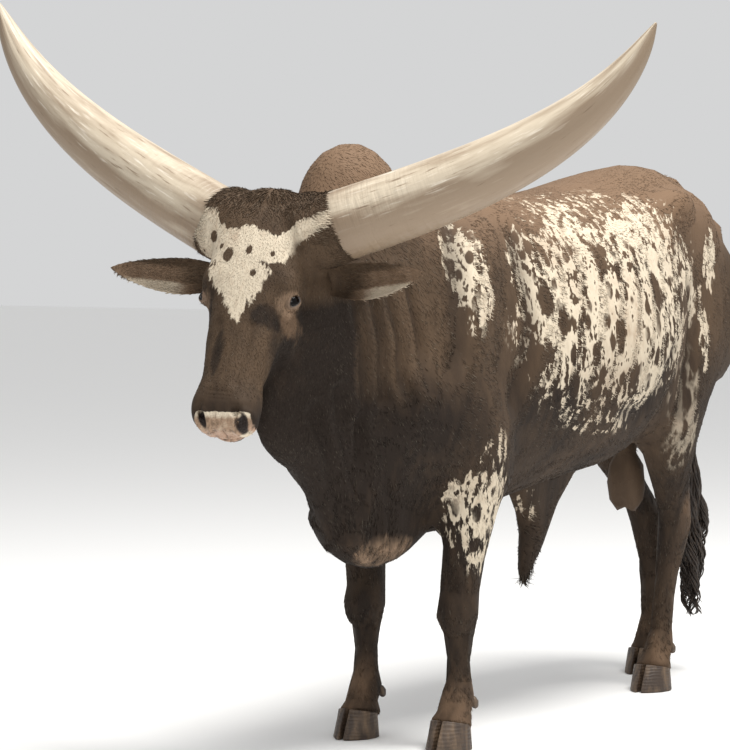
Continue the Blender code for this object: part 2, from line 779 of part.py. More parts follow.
def switch(name):
    """Tail switch: locks that root round the end of the tail and hang over one another."""
    draw = random.Random(SEED)
    top = body_point(SWITCH_SIDE, TAIL_REAR, TAIL_END - GAP)
    drift = Vector((0.030, 0.016, 0.0))
    core = []
    for part in (0.0, 0.15, 0.5, 0.8, 1.0):
        half = 0.0135 + 0.012 * math.sin(part * math.pi) - 0.009 * part
        place = top - Vector((0, 0, 0.30)) * part
        core.append(section(place, Vector((1, 0, 0)), Vector((0, 1, 0)), half, half, half, 2.0, 0.0, 10))
    whole = loft(name, core, parts)
    locks = []
    for index in range(LOCKS):
        turn = math.tau * index * 0.382
        level = index / LOCKS
        out = Vector((math.cos(turn), math.sin(turn), 0.0))
        root = top + out * 0.006 - Vector((0, 0, 0.02 + 0.22 * level))
        fall = 0.16 + 0.10 * draw.random() + 0.10 * (1 - level)
        low = max(SWITCH_TIP, root.z - fall)
        tip = Vector((root.x, root.y, low)) + out * (0.020 + 0.020 * draw.random())
        tip += drift * (root.z - low) / 0.3
        sway = out * 0.016 + Vector((draw.uniform(-0.008, 0.008), draw.uniform(-0.008, 0.008), 0))
        locks.append(lock(root, tip, 0.0165, sway))
    return join(whole, locks)


def sheath(name):
    """Hanging sheath under the belly, drawn forwards to its opening."""
    stations = [
        # along of the middle, height, half width, half length
        (0.635, 0.690, 0.052, 0.210),
        (0.632, 0.640, 0.048, 0.190),
        (0.618, 0.590, 0.043, 0.145),
        (0.606, 0.535, 0.037, 0.090),
        (0.597, 0.480, 0.032, 0.062),
        (0.577, 0.430, 0.027, 0.046),
        (0.557, 0.390, 0.021, 0.029),
        (0.545, 0.360, 0.013, 0.016),
        (0.542, 0.348, 0.006, 0.008),
    ]
    rings = []
    for along, height, half, reach in stations:
        centre = body_point(0, along, height)
        rings.append(section(centre, Vector((1, 0, 0)), Vector((0, 1, 0)), half, reach, reach, 2.0, 0, 14))
    return loft(name, rings, parts)


def scrotum(name):
    """Scrotum between the hind legs, with a neck above and two rounded lobes below."""
    neck_piece = ball("cord_neck", body_point(0, 1.10, 0.705), (0.036, 0.040, 0.085), None, cutters, 16)
    lobes = [
        ball("lobe", body_point(side * 0.021, 1.10, 0.575), (0.036, 0.046, 0.088), None, cutters, 16)
        for side in (1, -1)
    ]
    return fuse(name, [neck_piece] + lobes, SCROTUM_GRAIN, SCROTUM_ROUNDS, SCROTUM_TRIANGLES)


def body_planks():
    """The thin cuts that part the flesh into its named pieces."""
    cuts = [
        tilted("hump_cut", (0, -0.24, 1.372), (0.50, 0.62, KERF), 5),
        tilted("neck_cut", (0, -0.235, 1.02), (0.62, KERF, 0.86), -14),
        *head_planks(),
        tilted("dewlap_cut", (0, -0.366, 0.637), (0.46, KERF, 0.70), 42),
    ]
    for side in (1, -1):
        fore = 0.035 + fore_shift(side, 0.40)
        hock = 1.29 + hind_shift(side, 0.38)
        thigh = 1.155 + hind_shift(side, 0.66)
        cuts.append(tilted("elbow_cut", (side * 0.19, fore, 0.486), (0.22, 0.30, KERF), 0))
        cuts.append(tilted("knee_cut", (side * FORE_FOOT_SIDE, fore, 0.285), (0.16, 0.20, KERF), 0))
        cuts.append(tilted("thigh_cut", (side * 0.17, thigh, 0.66), (0.27, 0.36, KERF), 14))
        cuts.append(tilted("hock_cut", (side * 0.107, hock, 0.385), (0.15, 0.24, KERF), 0))
        for side_place, along in (fore_hoof(side), hind_hoof(side)):
            cuts.append(coronet_plank(side_place, along))
    return cuts


def tilted(name, place, size, degrees):
    """A plank tilted about the side axis."""
    return plank(name, Vector(place), size, Matrix.Rotation(math.radians(degrees), 3, "X"))


def head_planks():
    """The cuts behind the jaws and under them that part the head from neck and dewlap."""
    return [
        tilted("nape_cut", (0, -0.452, 1.23), (0.46, KERF, 0.50), 0),
        tilted("throat_cut", (0, -0.565, 0.918), (0.36, 0.29, KERF), 34),
    ]


def coronet_plank(side, along):
    """The cut under the coronet, where the claws start."""
    slope = -math.degrees(math.atan(CORONET_SLOPE))
    return tilted("coronet_cut", (side, along, CORONET + GAP), (0.17, 0.26, KERF), slope)


def fore_hoof(side):
    """Place of one fore hoof."""
    return side * FORE_FOOT_SIDE, FORE_FOOT_LEFT if side > 0 else FORE_FOOT_RIGHT


def hind_hoof(side):
    """Place of one hind hoof."""
    return side * HIND_FOOT_SIDE, HIND_FOOT_LEFT if side > 0 else HIND_FOOT_RIGHT


def flesh_pieces():
    """The bull's body, legs and head, melted together and parted into named pieces."""
    limbs = []
    masses = [trunk(), neck(), dewlap()] + hump()
    for side in (1, -1):
        limbs += fore_leg(side, LIMB_TOP) + hind_leg(side, LIMB_TOP)
        masses += fore_leg(side) + hind_leg(side) + shoulder(side) + quarter(side)
    body = fuse("body", masses, BODY_GRAIN, BODY_ROUNDS, None, cutters)
    face = skull()
    whole = fuse("flesh", [body] + limbs + face, FLESH_GRAIN, FLESH_ROUNDS, FLESH_TRIANGLES)
    places = {
        "torso": (0, 0.55, 0.98),
        "neck": (0, -0.38, 1.10),
        "hump": (0, HUMP_PLACE, 1.43),
        "dewlap": (0, -0.40, 0.62),
        "rough_head": (0, -0.66, 1.10),
    }
    for side, word in ((1, "left"), (-1, "right")):
        fore_side, fore = fore_hoof(side)
        hind_side, hind = hind_hoof(side)
        places["foreleg_upper_" + word] = (fore_side, fore + 0.03, 0.39)
        places["foreleg_lower_" + word] = (fore_side, fore + 0.03, 0.17)
        places["fore_stub_" + word] = (fore_side, fore, 0.055)
        places["hindleg_upper_" + word] = (0.12 * side, 1.23 + hind_shift(side, 0.52), 0.52)
        places["hindleg_lower_" + word] = (hind_side, hind + 0.05, 0.22)
        places["hind_stub_" + word] = (hind_side, hind, 0.055)
    pieces = part_out(whole, body_planks(), places)
    nape = plank("nape", Vector((0, -0.62, 1.17)), (0.8, 0.62, 0.8), Matrix.Identity(3))
    near = add_object("near", body.data.copy(), cutters)
    cut(near, [nape], "INTERSECT")
    fine = fuse("fine_head", [near] + face, HEAD_GRAIN, HEAD_ROUNDS, HEAD_TRIANGLES)
    head = part_out(fine, head_planks(), {"head": (0, -0.68, 1.08), "nape": (0, -0.42, 1.05)})
    pieces["head"] = head["head"]
    for name in list(pieces):
        if "stub" in name or "rough" in name:
            bpy.data.objects.remove(pieces.pop(name), do_unlink=True)
    bpy.data.objects.remove(head["nape"], do_unlink=True)
    return pieces


def seat(host, guests):
    """Sink the guests' roots in the host, with the gap all round."""
    cut(host, [swollen(guest, GAP) for guest in guests])


def build():
    """Make every node of the bull, each bedded in what it grows from."""
    clear_scene()
    bpy.context.scene.collection.children.link(parts)
    bpy.context.scene.collection.children.link(cutters)
    pieces = flesh_pieces()
    head, torso = pieces["head"], pieces["torso"]
    colours = {name: COAT for name in pieces}
    guests = []
    openings = [mouth_line()]
    for side, word in ((1, "left"), (-1, "right")):
        pieces["horn_" + word] = horn("horn_" + word, side)
        pieces["ear_" + word] = ear("ear_" + word, side)
        pieces["eye_" + word] = eye("eye_" + word, side)
        colours.update({"horn_" + word: HORN, "ear_" + word: COAT, "eye_" + word: EYE})
        guests += [pieces["horn_" + word], pieces["ear_" + word], pieces["eye_" + word]]
        openings += [lid_opening(side), nostril(side)]
    cut(head, openings)
    seat(head, guests)
    seat(pieces["neck"], [pieces["horn_left"], pieces["horn_right"]])
    pieces["tail"] = tail("tail")
    pieces["tail_switch"] = switch("tail_switch")
    pieces["sheath"] = sheath("sheath")
    pieces["scrotum"] = scrotum("scrotum")
    colours.update({"tail": COAT, "tail_switch": DARK, "sheath": COAT, "scrotum": SKIN})
    seat(torso, [pieces["tail"], pieces["sheath"], pieces["scrotum"]])
    for side, word in ((1, "left"), (-1, "right")):
        for limb, place, height in (("fore", fore_hoof(side), 0.108), ("hind", hind_hoof(side), 0.110)):
            leg = pieces[limb + "leg_lower_" + word]
            dews = []
            for split, which in ((side, "outer"), (-side, "inner")):
                tag = "_".join((limb, word, which))
                pieces["claw_" + tag] = claw("claw_" + tag, *place, split)
                dews.append(dew_claw("dewclaw_" + tag, *place, split, height))
                pieces["dewclaw_" + tag] = dews[-1]
                colours["claw_" + tag] = colours["dewclaw_" + tag] = HOOF
            seat(leg, dews)
    for name, (colour, roughness) in colours.items():
        paint(pieces[name], colour, roughness)
        pieces[name].data.shade_smooth()
        pieces[name].data.set_sharp_from_angle(angle=math.radians(35))
    for item in list(cutters.objects):
        bpy.data.objects.remove(item, do_unlink=True)
    centre_model()


def centre_model():
    """Move every node so that the origin is under the middle of the outer box."""
    corners = [vertex.co for item in parts.objects for vertex in item.data.vertices]
    low = Vector(min(corner[axis] for corner in corners) for axis in range(3))
    high = Vector(max(corner[axis] for corner in corners) for axis in range(3))
    shift = Vector((-(low.x + high.x) / 2, -(low.y + high.y) / 2, -low.z))
    for item in parts.objects:
        item.data.transform(Matrix.Translation(shift))


build()
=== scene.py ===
"""Ankole-Watusi bull: the looks of the model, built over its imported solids.

The bull faces -Y and its left side is +X, in metres. Places on it are given
from a line through the fore feet: to the left, backwards and up.
"""

import math

import bpy
import numpy as np
from mathutils import Matrix, Vector
from mathutils.bvhtree import BVHTree


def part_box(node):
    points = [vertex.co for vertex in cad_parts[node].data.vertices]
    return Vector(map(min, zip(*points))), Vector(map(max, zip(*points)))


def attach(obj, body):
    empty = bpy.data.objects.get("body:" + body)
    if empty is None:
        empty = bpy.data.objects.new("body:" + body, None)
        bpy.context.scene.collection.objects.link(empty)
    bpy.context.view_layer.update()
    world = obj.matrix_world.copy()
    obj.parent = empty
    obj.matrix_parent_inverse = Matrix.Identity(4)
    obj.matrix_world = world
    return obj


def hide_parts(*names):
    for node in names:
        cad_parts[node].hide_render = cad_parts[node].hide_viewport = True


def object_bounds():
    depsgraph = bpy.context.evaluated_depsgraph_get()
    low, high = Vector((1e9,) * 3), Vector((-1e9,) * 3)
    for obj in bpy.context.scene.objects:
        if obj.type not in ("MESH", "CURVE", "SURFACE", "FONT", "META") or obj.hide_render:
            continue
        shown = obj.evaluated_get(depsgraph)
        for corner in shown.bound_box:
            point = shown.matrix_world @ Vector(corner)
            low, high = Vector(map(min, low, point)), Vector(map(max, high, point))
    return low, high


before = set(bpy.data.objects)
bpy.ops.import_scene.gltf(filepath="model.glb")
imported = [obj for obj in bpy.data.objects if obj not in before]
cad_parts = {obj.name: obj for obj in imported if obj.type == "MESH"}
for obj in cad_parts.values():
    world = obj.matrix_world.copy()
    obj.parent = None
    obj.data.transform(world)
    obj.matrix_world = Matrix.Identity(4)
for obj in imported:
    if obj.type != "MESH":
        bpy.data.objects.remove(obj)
solid_box = [list(corner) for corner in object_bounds()]

# Camera
# The photograph was taken from the bull's left front, at about the height of its back,
# through a long lens that looks a little down.
TOE_AHEAD = 0.125
CAMERA_AZIMUTH = math.radians(34)
CAMERA_PLACE = (4.222, -6.464, 1.30)
CAMERA_TILT = math.radians(2.83)
LENS = 148.8

toe_left, toe_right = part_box("claw_fore_left_outer"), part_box("claw_fore_right_outer")
SHIFT = Vector(((toe_left[1].x + toe_right[0].x) / 2, toe_left[0].y + TOE_AHEAD, 0.0))


def place(side, back, height):
    """A point of the scene from its place on the bull."""
    return Vector((side, back, height)) + SHIFT


bpy.ops.object.select_all(action="DESELECT")
bpy.ops.object.camera_add(location=place(*CAMERA_PLACE))
camera = bpy.context.object
camera.name = "camera"
camera.rotation_euler = (math.pi / 2 - CAMERA_TILT, 0.0, CAMERA_AZIMUTH)
camera.data.lens = LENS
camera.data.sensor_width = 36.0
bpy.context.scene.camera = camera

# Floor and light
# A plain pale floor of studio paper, a bright room, one broad soft lamp high over the bull
# and a weaker one in front of it.
FLOOR_SIZE = 60.0
FLOOR_COLOUR = (0.93, 0.925, 0.915)
ROOM_COLOUR = (0.97, 0.975, 0.98)
ROOM_LIGHT = 0.68


class Value:
    """One output in a material's nodes, which Python's operators work on."""

    def __init__(self, finish, socket):
        self.finish = finish
        self.socket = socket

    def work(self, operation, *others):
        """The outcome of one Math node."""
        return self.finish.node("ShaderNodeMath", {"operation": operation}, [self, *others])

    def __add__(self, other):
        return self.work("ADD", other)

    __radd__ = __add__

    def __sub__(self, other):
        return self.work("SUBTRACT", other)

    def __rsub__(self, other):
        return self.finish.node("ShaderNodeMath", {"operation": "SUBTRACT"}, [other, self])

    def __mul__(self, other):
        return self.work("MULTIPLY", other)

    __rmul__ = __mul__

    def __truediv__(self, other):
        return self.work("DIVIDE", other)

    def __abs__(self):
        return self.work("ABSOLUTE")

    def most(self, other):
        return self.work("MAXIMUM", other)

    def step(self, low, high):
        """0 at low and 1 at high, smooth between, whichever of the two is larger."""
        ends = {0: self, 1: min(low, high), 2: max(low, high), 3: float(low > high), 4: float(low < high)}
        return self.finish.node("ShaderNodeMapRange", {"interpolation_type": "SMOOTHSTEP"}, ends)


class Finish:
    """A material and the nodes that make it."""

    def __init__(self, name, colour, roughness, **fixed):
        self.material = bpy.data.materials.new(name)
        self.material.use_nodes = True
        self.tree = self.material.node_tree
        self.shader = self.tree.nodes["Principled BSDF"]
        self.shader.inputs["Base Color"].default_value = (*colour, 1.0)
        self.shader.inputs["Roughness"].default_value = roughness
        for socket, number in fixed.items():
            self.shader.inputs[socket.replace("_", " ")].default_value = number

    def node(self, kind, settings=None, sockets=(), output=0):
        """Add a node with its settings, then the values or links of its sockets."""
        node = self.tree.nodes.new(kind)
        for name, value in (settings or {}).items():
            setattr(node, name, value)
        pairs = sockets.items() if isinstance(sockets, dict) else enumerate(sockets)
        for name, value in pairs:
            if isinstance(value, Value):
                self.tree.links.new(value.socket, node.inputs[name])
            else:
                node.inputs[name].default_value = value
        return Value(self, node.outputs[output])

    def mark(self, name, output="Fac"):
        """A value that the mesh carries under a name."""
        return self.node("ShaderNodeAttribute", {"attribute_name": name}, (), output)

    def parts(self, vector):
        """The three numbers of a vector."""
        split = self.node("ShaderNodeSeparateXYZ", None, [vector]).socket.node
        return [Value(self, output) for output in split.outputs]

    def dot(self, vector, axis):
        return self.node("ShaderNodeVectorMath", {"operation": "DOT_PRODUCT"}, [vector, tuple(axis)], "Value")

    def noise(self, vector, scale, detail=3.0, stretch=(1.0, 1.0, 1.0), turn=(0.0, 0.0, 0.0)):
        """Cloudy noise about 0, drawn out along an axis whose stretch is small."""
        drawn = self.node("ShaderNodeMapping", None, {0: vector, 2: turn, 3: stretch})
        sockets = {"Vector": drawn, "Scale": scale, "Detail": detail}
        return self.node("ShaderNodeTexNoise", None, sockets) - 0.5

    def cells(self, vector, scale, stretch=(1.0, 1.0, 1.0)):
        """Distance to the nearest of scattered points."""
        drawn = self.node("ShaderNodeMapping", None, {0: vector, 3: stretch})
        return self.node("ShaderNodeTexVoronoi", None, {"Vector": drawn, "Scale": scale})

    def mix(self, share, first, second):
        """A colour between two colours."""
        first = first if isinstance(first, Value) else (*first, 1.0)
        second = second if isinstance(second, Value) else (*second, 1.0)
        return self.node("ShaderNodeMix", {"data_type": "RGBA"}, {0: share, 6: first, 7: second}, 2)

    def bump(self, height, depth, below=None):
        """A normal for a height from 0 to 1 that stands for a depth in metres."""
        sockets = {"Strength": 1.0, "Distance": depth, "Height": height}
        if below:
            sockets["Normal"] = below
        return self.node("ShaderNodeBump", None, sockets)

    def feed(self, **values):
        """Link values to the shader's own sockets."""
        for name, value in values.items():
            self.tree.links.new(value.socket, self.shader.inputs[name.replace("_", " ")])


SCREEN_CURVE = 2.2


def screen(red, green, blue):
    """A linear colour from its screen levels of 0 to 255."""
    return tuple((level / 255) ** SCREEN_CURVE for level in (red, green, blue))


bpy.ops.mesh.primitive_plane_add(size=FLOOR_SIZE, location=(0, 0, 0))
floor = bpy.context.object
floor.name = "floor"
floor.data.materials.append(Finish("studio_paper", FLOOR_COLOUR, 0.9).material)

room = bpy.data.worlds.new("room")
bpy.context.scene.world = room
room.use_nodes = True
room.node_tree.nodes["Background"].inputs["Color"].default_value = (*ROOM_COLOUR, 1.0)
room.node_tree.nodes["Background"].inputs["Strength"].default_value = ROOM_LIGHT


def lamp(name, spot, target, width, power, colour):
    """A square soft lamp that shines from a spot towards a target."""
    bpy.ops.object.light_add(type="AREA", location=place(*spot))
    item = bpy.context.object
    item.name = name
    item.data.size = width
    item.data.energy = power
    item.data.color = colour
    item.rotation_euler = (place(*target) - place(*spot)).to_track_quat("-Z", "Y").to_euler()


lamp("high_lamp", (1.6, 0.2, 5.6), (0.0, 0.5, 0.9), 2.6, 440, (1.0, 0.985, 0.955))
lamp("front_lamp", (4.4, -5.2, 3.0), (0.0, 0.2, 0.9), 2.0, 70, (1.0, 0.99, 0.97))
bpy.context.scene.view_settings.view_transform = "Standard"

# Hide
# One skin from the muzzle to the end of the tail, inside the solids by the depth of the
# short coat. Folds of the neck and dewlap, muscles and the forms of the face are raised on it.
COAT_DEPTH = 0.003
SKIN_GRAIN = 0.0048
SKIN_FACES = 150000
MERGE_REACH = 0.00002
GAP_FILL = 0.0007
COLLAR_DEPTH = 0.0042
POLL = Vector((-0.020, -0.55, 1.33))
HEAD_TURN = math.radians(13)
HEAD_ROLL = math.radians(3.3)
FACE_SLOPE = math.radians(63)
HORN_TURN = math.radians(-4)
HORN_ROOT = (0.095, -0.018, -0.060)
HORN_START = (0.90, 0.10, 0.42)
HAIRY_HORN = {"left": 0.088, "right": 0.050}
EYE_PLACE = (0.103, 0.245, 0.018)
EYE_RADIUS = 0.021
SIDES = {"left": 1, "right": -1}

HEAD = Matrix.Rotation(HEAD_TURN, 3, "Z") @ Matrix.Rotation(HEAD_ROLL, 3, "Y")
HORNS = HEAD @ Matrix.Rotation(HORN_TURN, 3, "Z")
FACE_SIDE = HEAD @ Vector((1, 0, 0))
FACE_DOWN = HEAD @ Vector((0, -math.cos(FACE_SLOPE), -math.sin(FACE_SLOPE)))
FACE_FRONT = HEAD @ Vector((0, -math.sin(FACE_SLOPE), math.cos(FACE_SLOPE)))
FACE_AXES = np.array([FACE_SIDE[:], FACE_DOWN[:], FACE_FRONT[:]])

flesh = ["head", "neck", "hump", "torso", "dewlap", "sheath", "scrotum", "tail"]
flesh += [f"{limb}_{level}_{side}" for limb in ("foreleg", "hindleg")
          for level in ("upper", "lower") for side in SIDES]


def face_place(side, down, front):
    """A point of the scene from its place on the face."""
    return SHIFT + POLL + side * FACE_SIDE + down * FACE_DOWN + front * FACE_FRONT


def pick(item):
    """Make an object the only one selected."""
    bpy.ops.object.select_all(action="DESELECT")
    item.select_set(True)
    bpy.context.view_layer.objects.active = item


def edit(item, operator, **settings):
    """Run one operator of edit mode on the whole of a mesh."""
    pick(item)
    bpy.ops.object.mode_set(mode="EDIT")
    bpy.ops.mesh.select_all(action="SELECT")
    operator(**settings)
    bpy.ops.object.mode_set(mode="OBJECT")


def added(name, mesh):
    """A new object in the scene."""
    item = bpy.data.objects.new(name, mesh)
    bpy.context.scene.collection.objects.link(item)
    return item


def solid_copy(node, name):
    """A merged copy of one solid's mesh, picked."""
    item = added(name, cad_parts[node].data.copy())
    item.data.materials.clear()
    edit(item, bpy.ops.mesh.remove_doubles, threshold=MERGE_REACH)
    return item


def change(item, kind, **settings):
    """Add a modifier and apply it."""
    pick(item)
    modifier = item.modifiers.new(kind.lower(), kind)
    for name, value in settings.items():
        setattr(modifier, name, value)
    bpy.ops.object.modifier_apply(modifier=modifier.name)


def joined(items, name):
    """One object from several."""
    pick(items[0])
    for item in items:
        item.select_set(True)
    bpy.ops.object.join()
    items[0].name = name
    return items[0]


def column(parts, name, width=3, kind=np.float32):
    """Numbers of a mesh's parts, one row for each part."""
    numbers = np.empty(len(parts) * width, kind)
    parts.foreach_get(name, numbers)
    return numbers.reshape(-1, width)


def on_bull(item):
    """The places of a mesh's points on the bull."""
    return column(item.data.vertices, "co").astype(float) - np.array(SHIFT[:])


def on_face(spots):
    """Places on the face, from places on the bull."""
    return (spots - np.array(POLL[:])) @ FACE_AXES.T


def move_points(item, spots):
    """Give a mesh's points their new places on the bull."""
    item.data.vertices.foreach_set("co", (spots + np.array(SHIFT[:])).astype(np.float32).ravel())
    item.data.update()


def mound(spots, centre, radii, height):
    """Height of a soft mound, or of a hollow where height is negative."""
    return height * np.exp(-(((spots - centre) / radii) ** 2).sum(1))


def away(spots, line):
    """Distance of points from a line of straight lengths."""
    line = np.array(line, float)
    nearest = np.full(len(spots), 9.0)
    for start, end in zip(line[:-1], line[1:]):
        run = end - start
        share = np.clip(((spots - start) @ run) / (run @ run), 0, 1)
        nearest = np.minimum(nearest, np.linalg.norm(spots - start - share[:, None] * run, axis=1))
    return nearest


def fold(spots, line, width, depth):
    """Height of a fold: a groove along a line, with a low roll on each side."""
    span = away(spots, line) / width
    return depth * (0.45 * np.exp(-((span - 2.0) ** 2)) - np.exp(-(span ** 2)))


def ease(numbers, low, high):
    """0 at low and 1 at high, smooth between."""
    share = np.clip((numbers - low) / (high - low), 0, 1)
    return share * share * (3 - 2 * share)


collars = []
for side, way in SIDES.items():
    collar = solid_copy("horn_" + side, "collar_" + side)
    out = HORNS @ (Vector((way, 1, 1)) * Vector(HORN_START)).normalized()
    root = SHIFT + POLL + HORNS @ (Vector((way, 1, 1)) * Vector(HORN_ROOT))
    edge = root + out * HAIRY_HORN[side]
    edit(collar, bpy.ops.mesh.bisect, plane_co=edge, plane_no=out, use_fill=True, clear_outer=True)
    edit(collar, bpy.ops.transform.shrink_fatten, value=COLLAR_DEPTH)
    collars.append(collar)

skin = joined([solid_copy(node, "skin_" + node) for node in flesh], "skin")
edit(skin, bpy.ops.transform.shrink_fatten, value=GAP_FILL)
skin = joined([skin] + collars, "skin")
change(skin, "REMESH", mode="VOXEL", voxel_size=SKIN_GRAIN)
change(skin, "SMOOTH", factor=0.5, iterations=8)

NECK_FOLDS = [[(-0.44, 1.14), (-0.41, 1.00), (-0.37, 0.87), (-0.35, 0.74)],
              [(-0.39, 1.17), (-0.36, 1.02), (-0.32, 0.88)],
              [(-0.34, 1.15), (-0.30, 1.01), (-0.27, 0.86)],
              [(-0.27, 1.18), (-0.24, 1.04), (-0.22, 0.90)]]
DEWLAP_FOLDS = [[(-0.50, 0.86), (-0.45, 0.76), (-0.40, 0.64), (-0.35, 0.55)],
                [(-0.45, 0.90), (-0.39, 0.76), (-0.34, 0.62)],
                [(-0.37, 0.82), (-0.32, 0.68), (-0.27, 0.55)],
                [(-0.30, 0.76), (-0.26, 0.64), (-0.21, 0.54)]]
FLANK_FOLDS = [[(0.20, 1.26), (0.17, 1.02), (0.11, 0.86)],
               [(-0.04, 1.34), (-0.10, 1.14), (-0.14, 0.96)],
               [(0.62, 0.80), (0.71, 0.79), (0.79, 0.86), (0.84, 0.96)],
               [(0.98, 1.12), (1.02, 0.94), (0.99, 0.78)]]
RIBS = 7
RIB_START = 0.30
RIB_STEP = 0.078
FEET = ((0.147, -0.045), (-0.147, -0.018), (0.090, 1.090), (-0.090, 1.380))
FORE_FEET_END = 0.5
KNEE_FORMS = [((0.012, 0.355), (0.075, 0.070, 0.085), 0.005),
              ((-0.020, 0.270), (0.040, 0.030, 0.014), -0.004),
              ((-0.020, 0.400), (0.045, 0.040, 0.016), -0.003)]
MUSCLES = [((0.22, -0.02, 1.08), (0.12, 0.08, 0.14), 0.013),
           ((0.20, -0.04, 0.86), (0.12, 0.07, 0.09), 0.011),
           ((0.26, 0.74, 1.17), (0.12, 0.08, 0.09), -0.014),
           ((0.24, 0.90, 1.27), (0.08, 0.05, 0.05), 0.011)]


def folds(spots):
    """Height of all the folds of the neck, dewlap and flank at places on the bull."""
    side_view = spots[:, 1:].copy()
    heights = side_view[:, 1]
    side_view[:, 0] += 0.007 * np.sin(heights * 17) + 0.003 * np.sin(heights * 47 + spots[:, 0] * 9)
    flank = ease(np.abs(spots[:, 0]), 0.03, 0.10)
    height = np.zeros(len(spots))
    for line in NECK_FOLDS:
        height += fold(side_view, line, 0.012, 0.0075) * flank
    for line in DEWLAP_FOLDS:
        height += fold(side_view, line, 0.017, 0.0110) * ease(np.abs(spots[:, 0]), 0.01, 0.04)
    for line in FLANK_FOLDS:
        height += fold(side_view, line, 0.028, 0.0110) * flank
    return height


spots = on_bull(skin)
side_view = spots[:, 1:]
flank = ease(np.abs(spots[:, 0]), 0.03, 0.10)
lift = folds(spots)
for aside, behind in FEET:
    leg = ease(-np.abs(spots[:, 0] - aside), -0.07, -0.06) * ease(-np.abs(spots[:, 1] - behind), -0.12, -0.10)
    groove = [(behind + 0.012, 0.28), (behind + 0.014, 0.17)]
    lift += fold(side_view, groove, 0.008, 0.0050) * leg
    lift += mound(spots, (aside, behind + 0.028, 0.125), (0.034, 0.024, 0.022), 0.005)
    lift -= 0.003 * np.exp(-((spots[:, 2] - 0.088) / 0.008) ** 2) * leg
    if behind < FORE_FEET_END:
        for (further, above), radii, height in KNEE_FORMS:
            lift += mound(spots, (aside, behind + further, above), radii, height)
for rib in range(RIBS):
    front = RIB_START + rib * RIB_STEP
    line = [(front + 0.05, 1.20), (front, 1.00), (front - 0.03, 0.88)]
    lift += fold(side_view, line, 0.018, 0.0030) * flank
for way in SIDES.values():
    for (aside, behind, above), radii, height in MUSCLES:
        lift += mound(spots, (way * aside, behind, above), radii, height)
skin_ways = column(skin.data.vertices, "normal").astype(float)
coronet = ease(-spots[:, 2], -0.105, -0.085)
spots += skin_ways * (lift - COAT_DEPTH * (1 - coronet))[:, None]
spots[:, 2] -= 0.004 * ease(-skin_ways[:, 2], 0.3, 0.8) * coronet
move_points(skin, spots)

for side in SIDES:
    ear = solid_copy("ear_" + side, "skin_ear_" + side)
    change(ear, "SUBSURF", levels=2, render_levels=2)
    change(skin, "BOOLEAN", operation="UNION", object=ear, solver="MANIFOLD")
    bpy.data.objects.remove(ear)

COARSE_LEVELS = 10
coarse = skin.vertex_groups.new(name="coarse")
face = on_face(on_bull(skin))
levels = np.round(ease(np.linalg.norm(face * (1, 0.62, 0.8), axis=1), 0.34, 0.50) * COARSE_LEVELS).astype(int)
for level in range(1, COARSE_LEVELS + 1):
    coarse.add(np.flatnonzero(levels == level).tolist(), level / COARSE_LEVELS, "REPLACE")
remeshed_faces = sum(len(polygon.vertices) - 2 for polygon in skin.data.polygons)
change(skin, "DECIMATE", ratio=SKIN_FACES / remeshed_faces, vertex_group="coarse", vertex_group_factor=0.5)
skin.vertex_groups.clear()
skin.data.shade_smooth()

MOUTH = (0.520, -0.030, 0.2126)
NOSTRIL = (0.047, 0.553, 0.026)
MUZZLE_SIDE = 0.010
NOSTRIL_TURN = math.radians(24)
BROW_LINE = [(0.085, 0.29, 0.02), (0.072, 0.38, 0.01), (0.068, 0.46, 0.0)]
CREST_LINE = [(0.098, 0.30, -0.02), (0.082, 0.41, -0.03)]
NASAL_LINE = [(0.040, 0.33, 0.06), (0.034, 0.47, 0.06)]
HEAD_FORMS = [((0.088, 0.200, 0.045), (0.034, 0.032, 0.030), 0.009),
              ((0.078, 0.300, 0.030), (0.030, 0.045, 0.030), -0.009),
              ((0.085, 0.250, -0.100), (0.040, 0.080, 0.060), 0.006),
              ((0.115, 0.150, -0.010), (0.030, 0.040, 0.040), -0.009)]
NOSE_WRINKLES = (0.494, 0.504, 0.513)
BOX_GAP = 0.0006

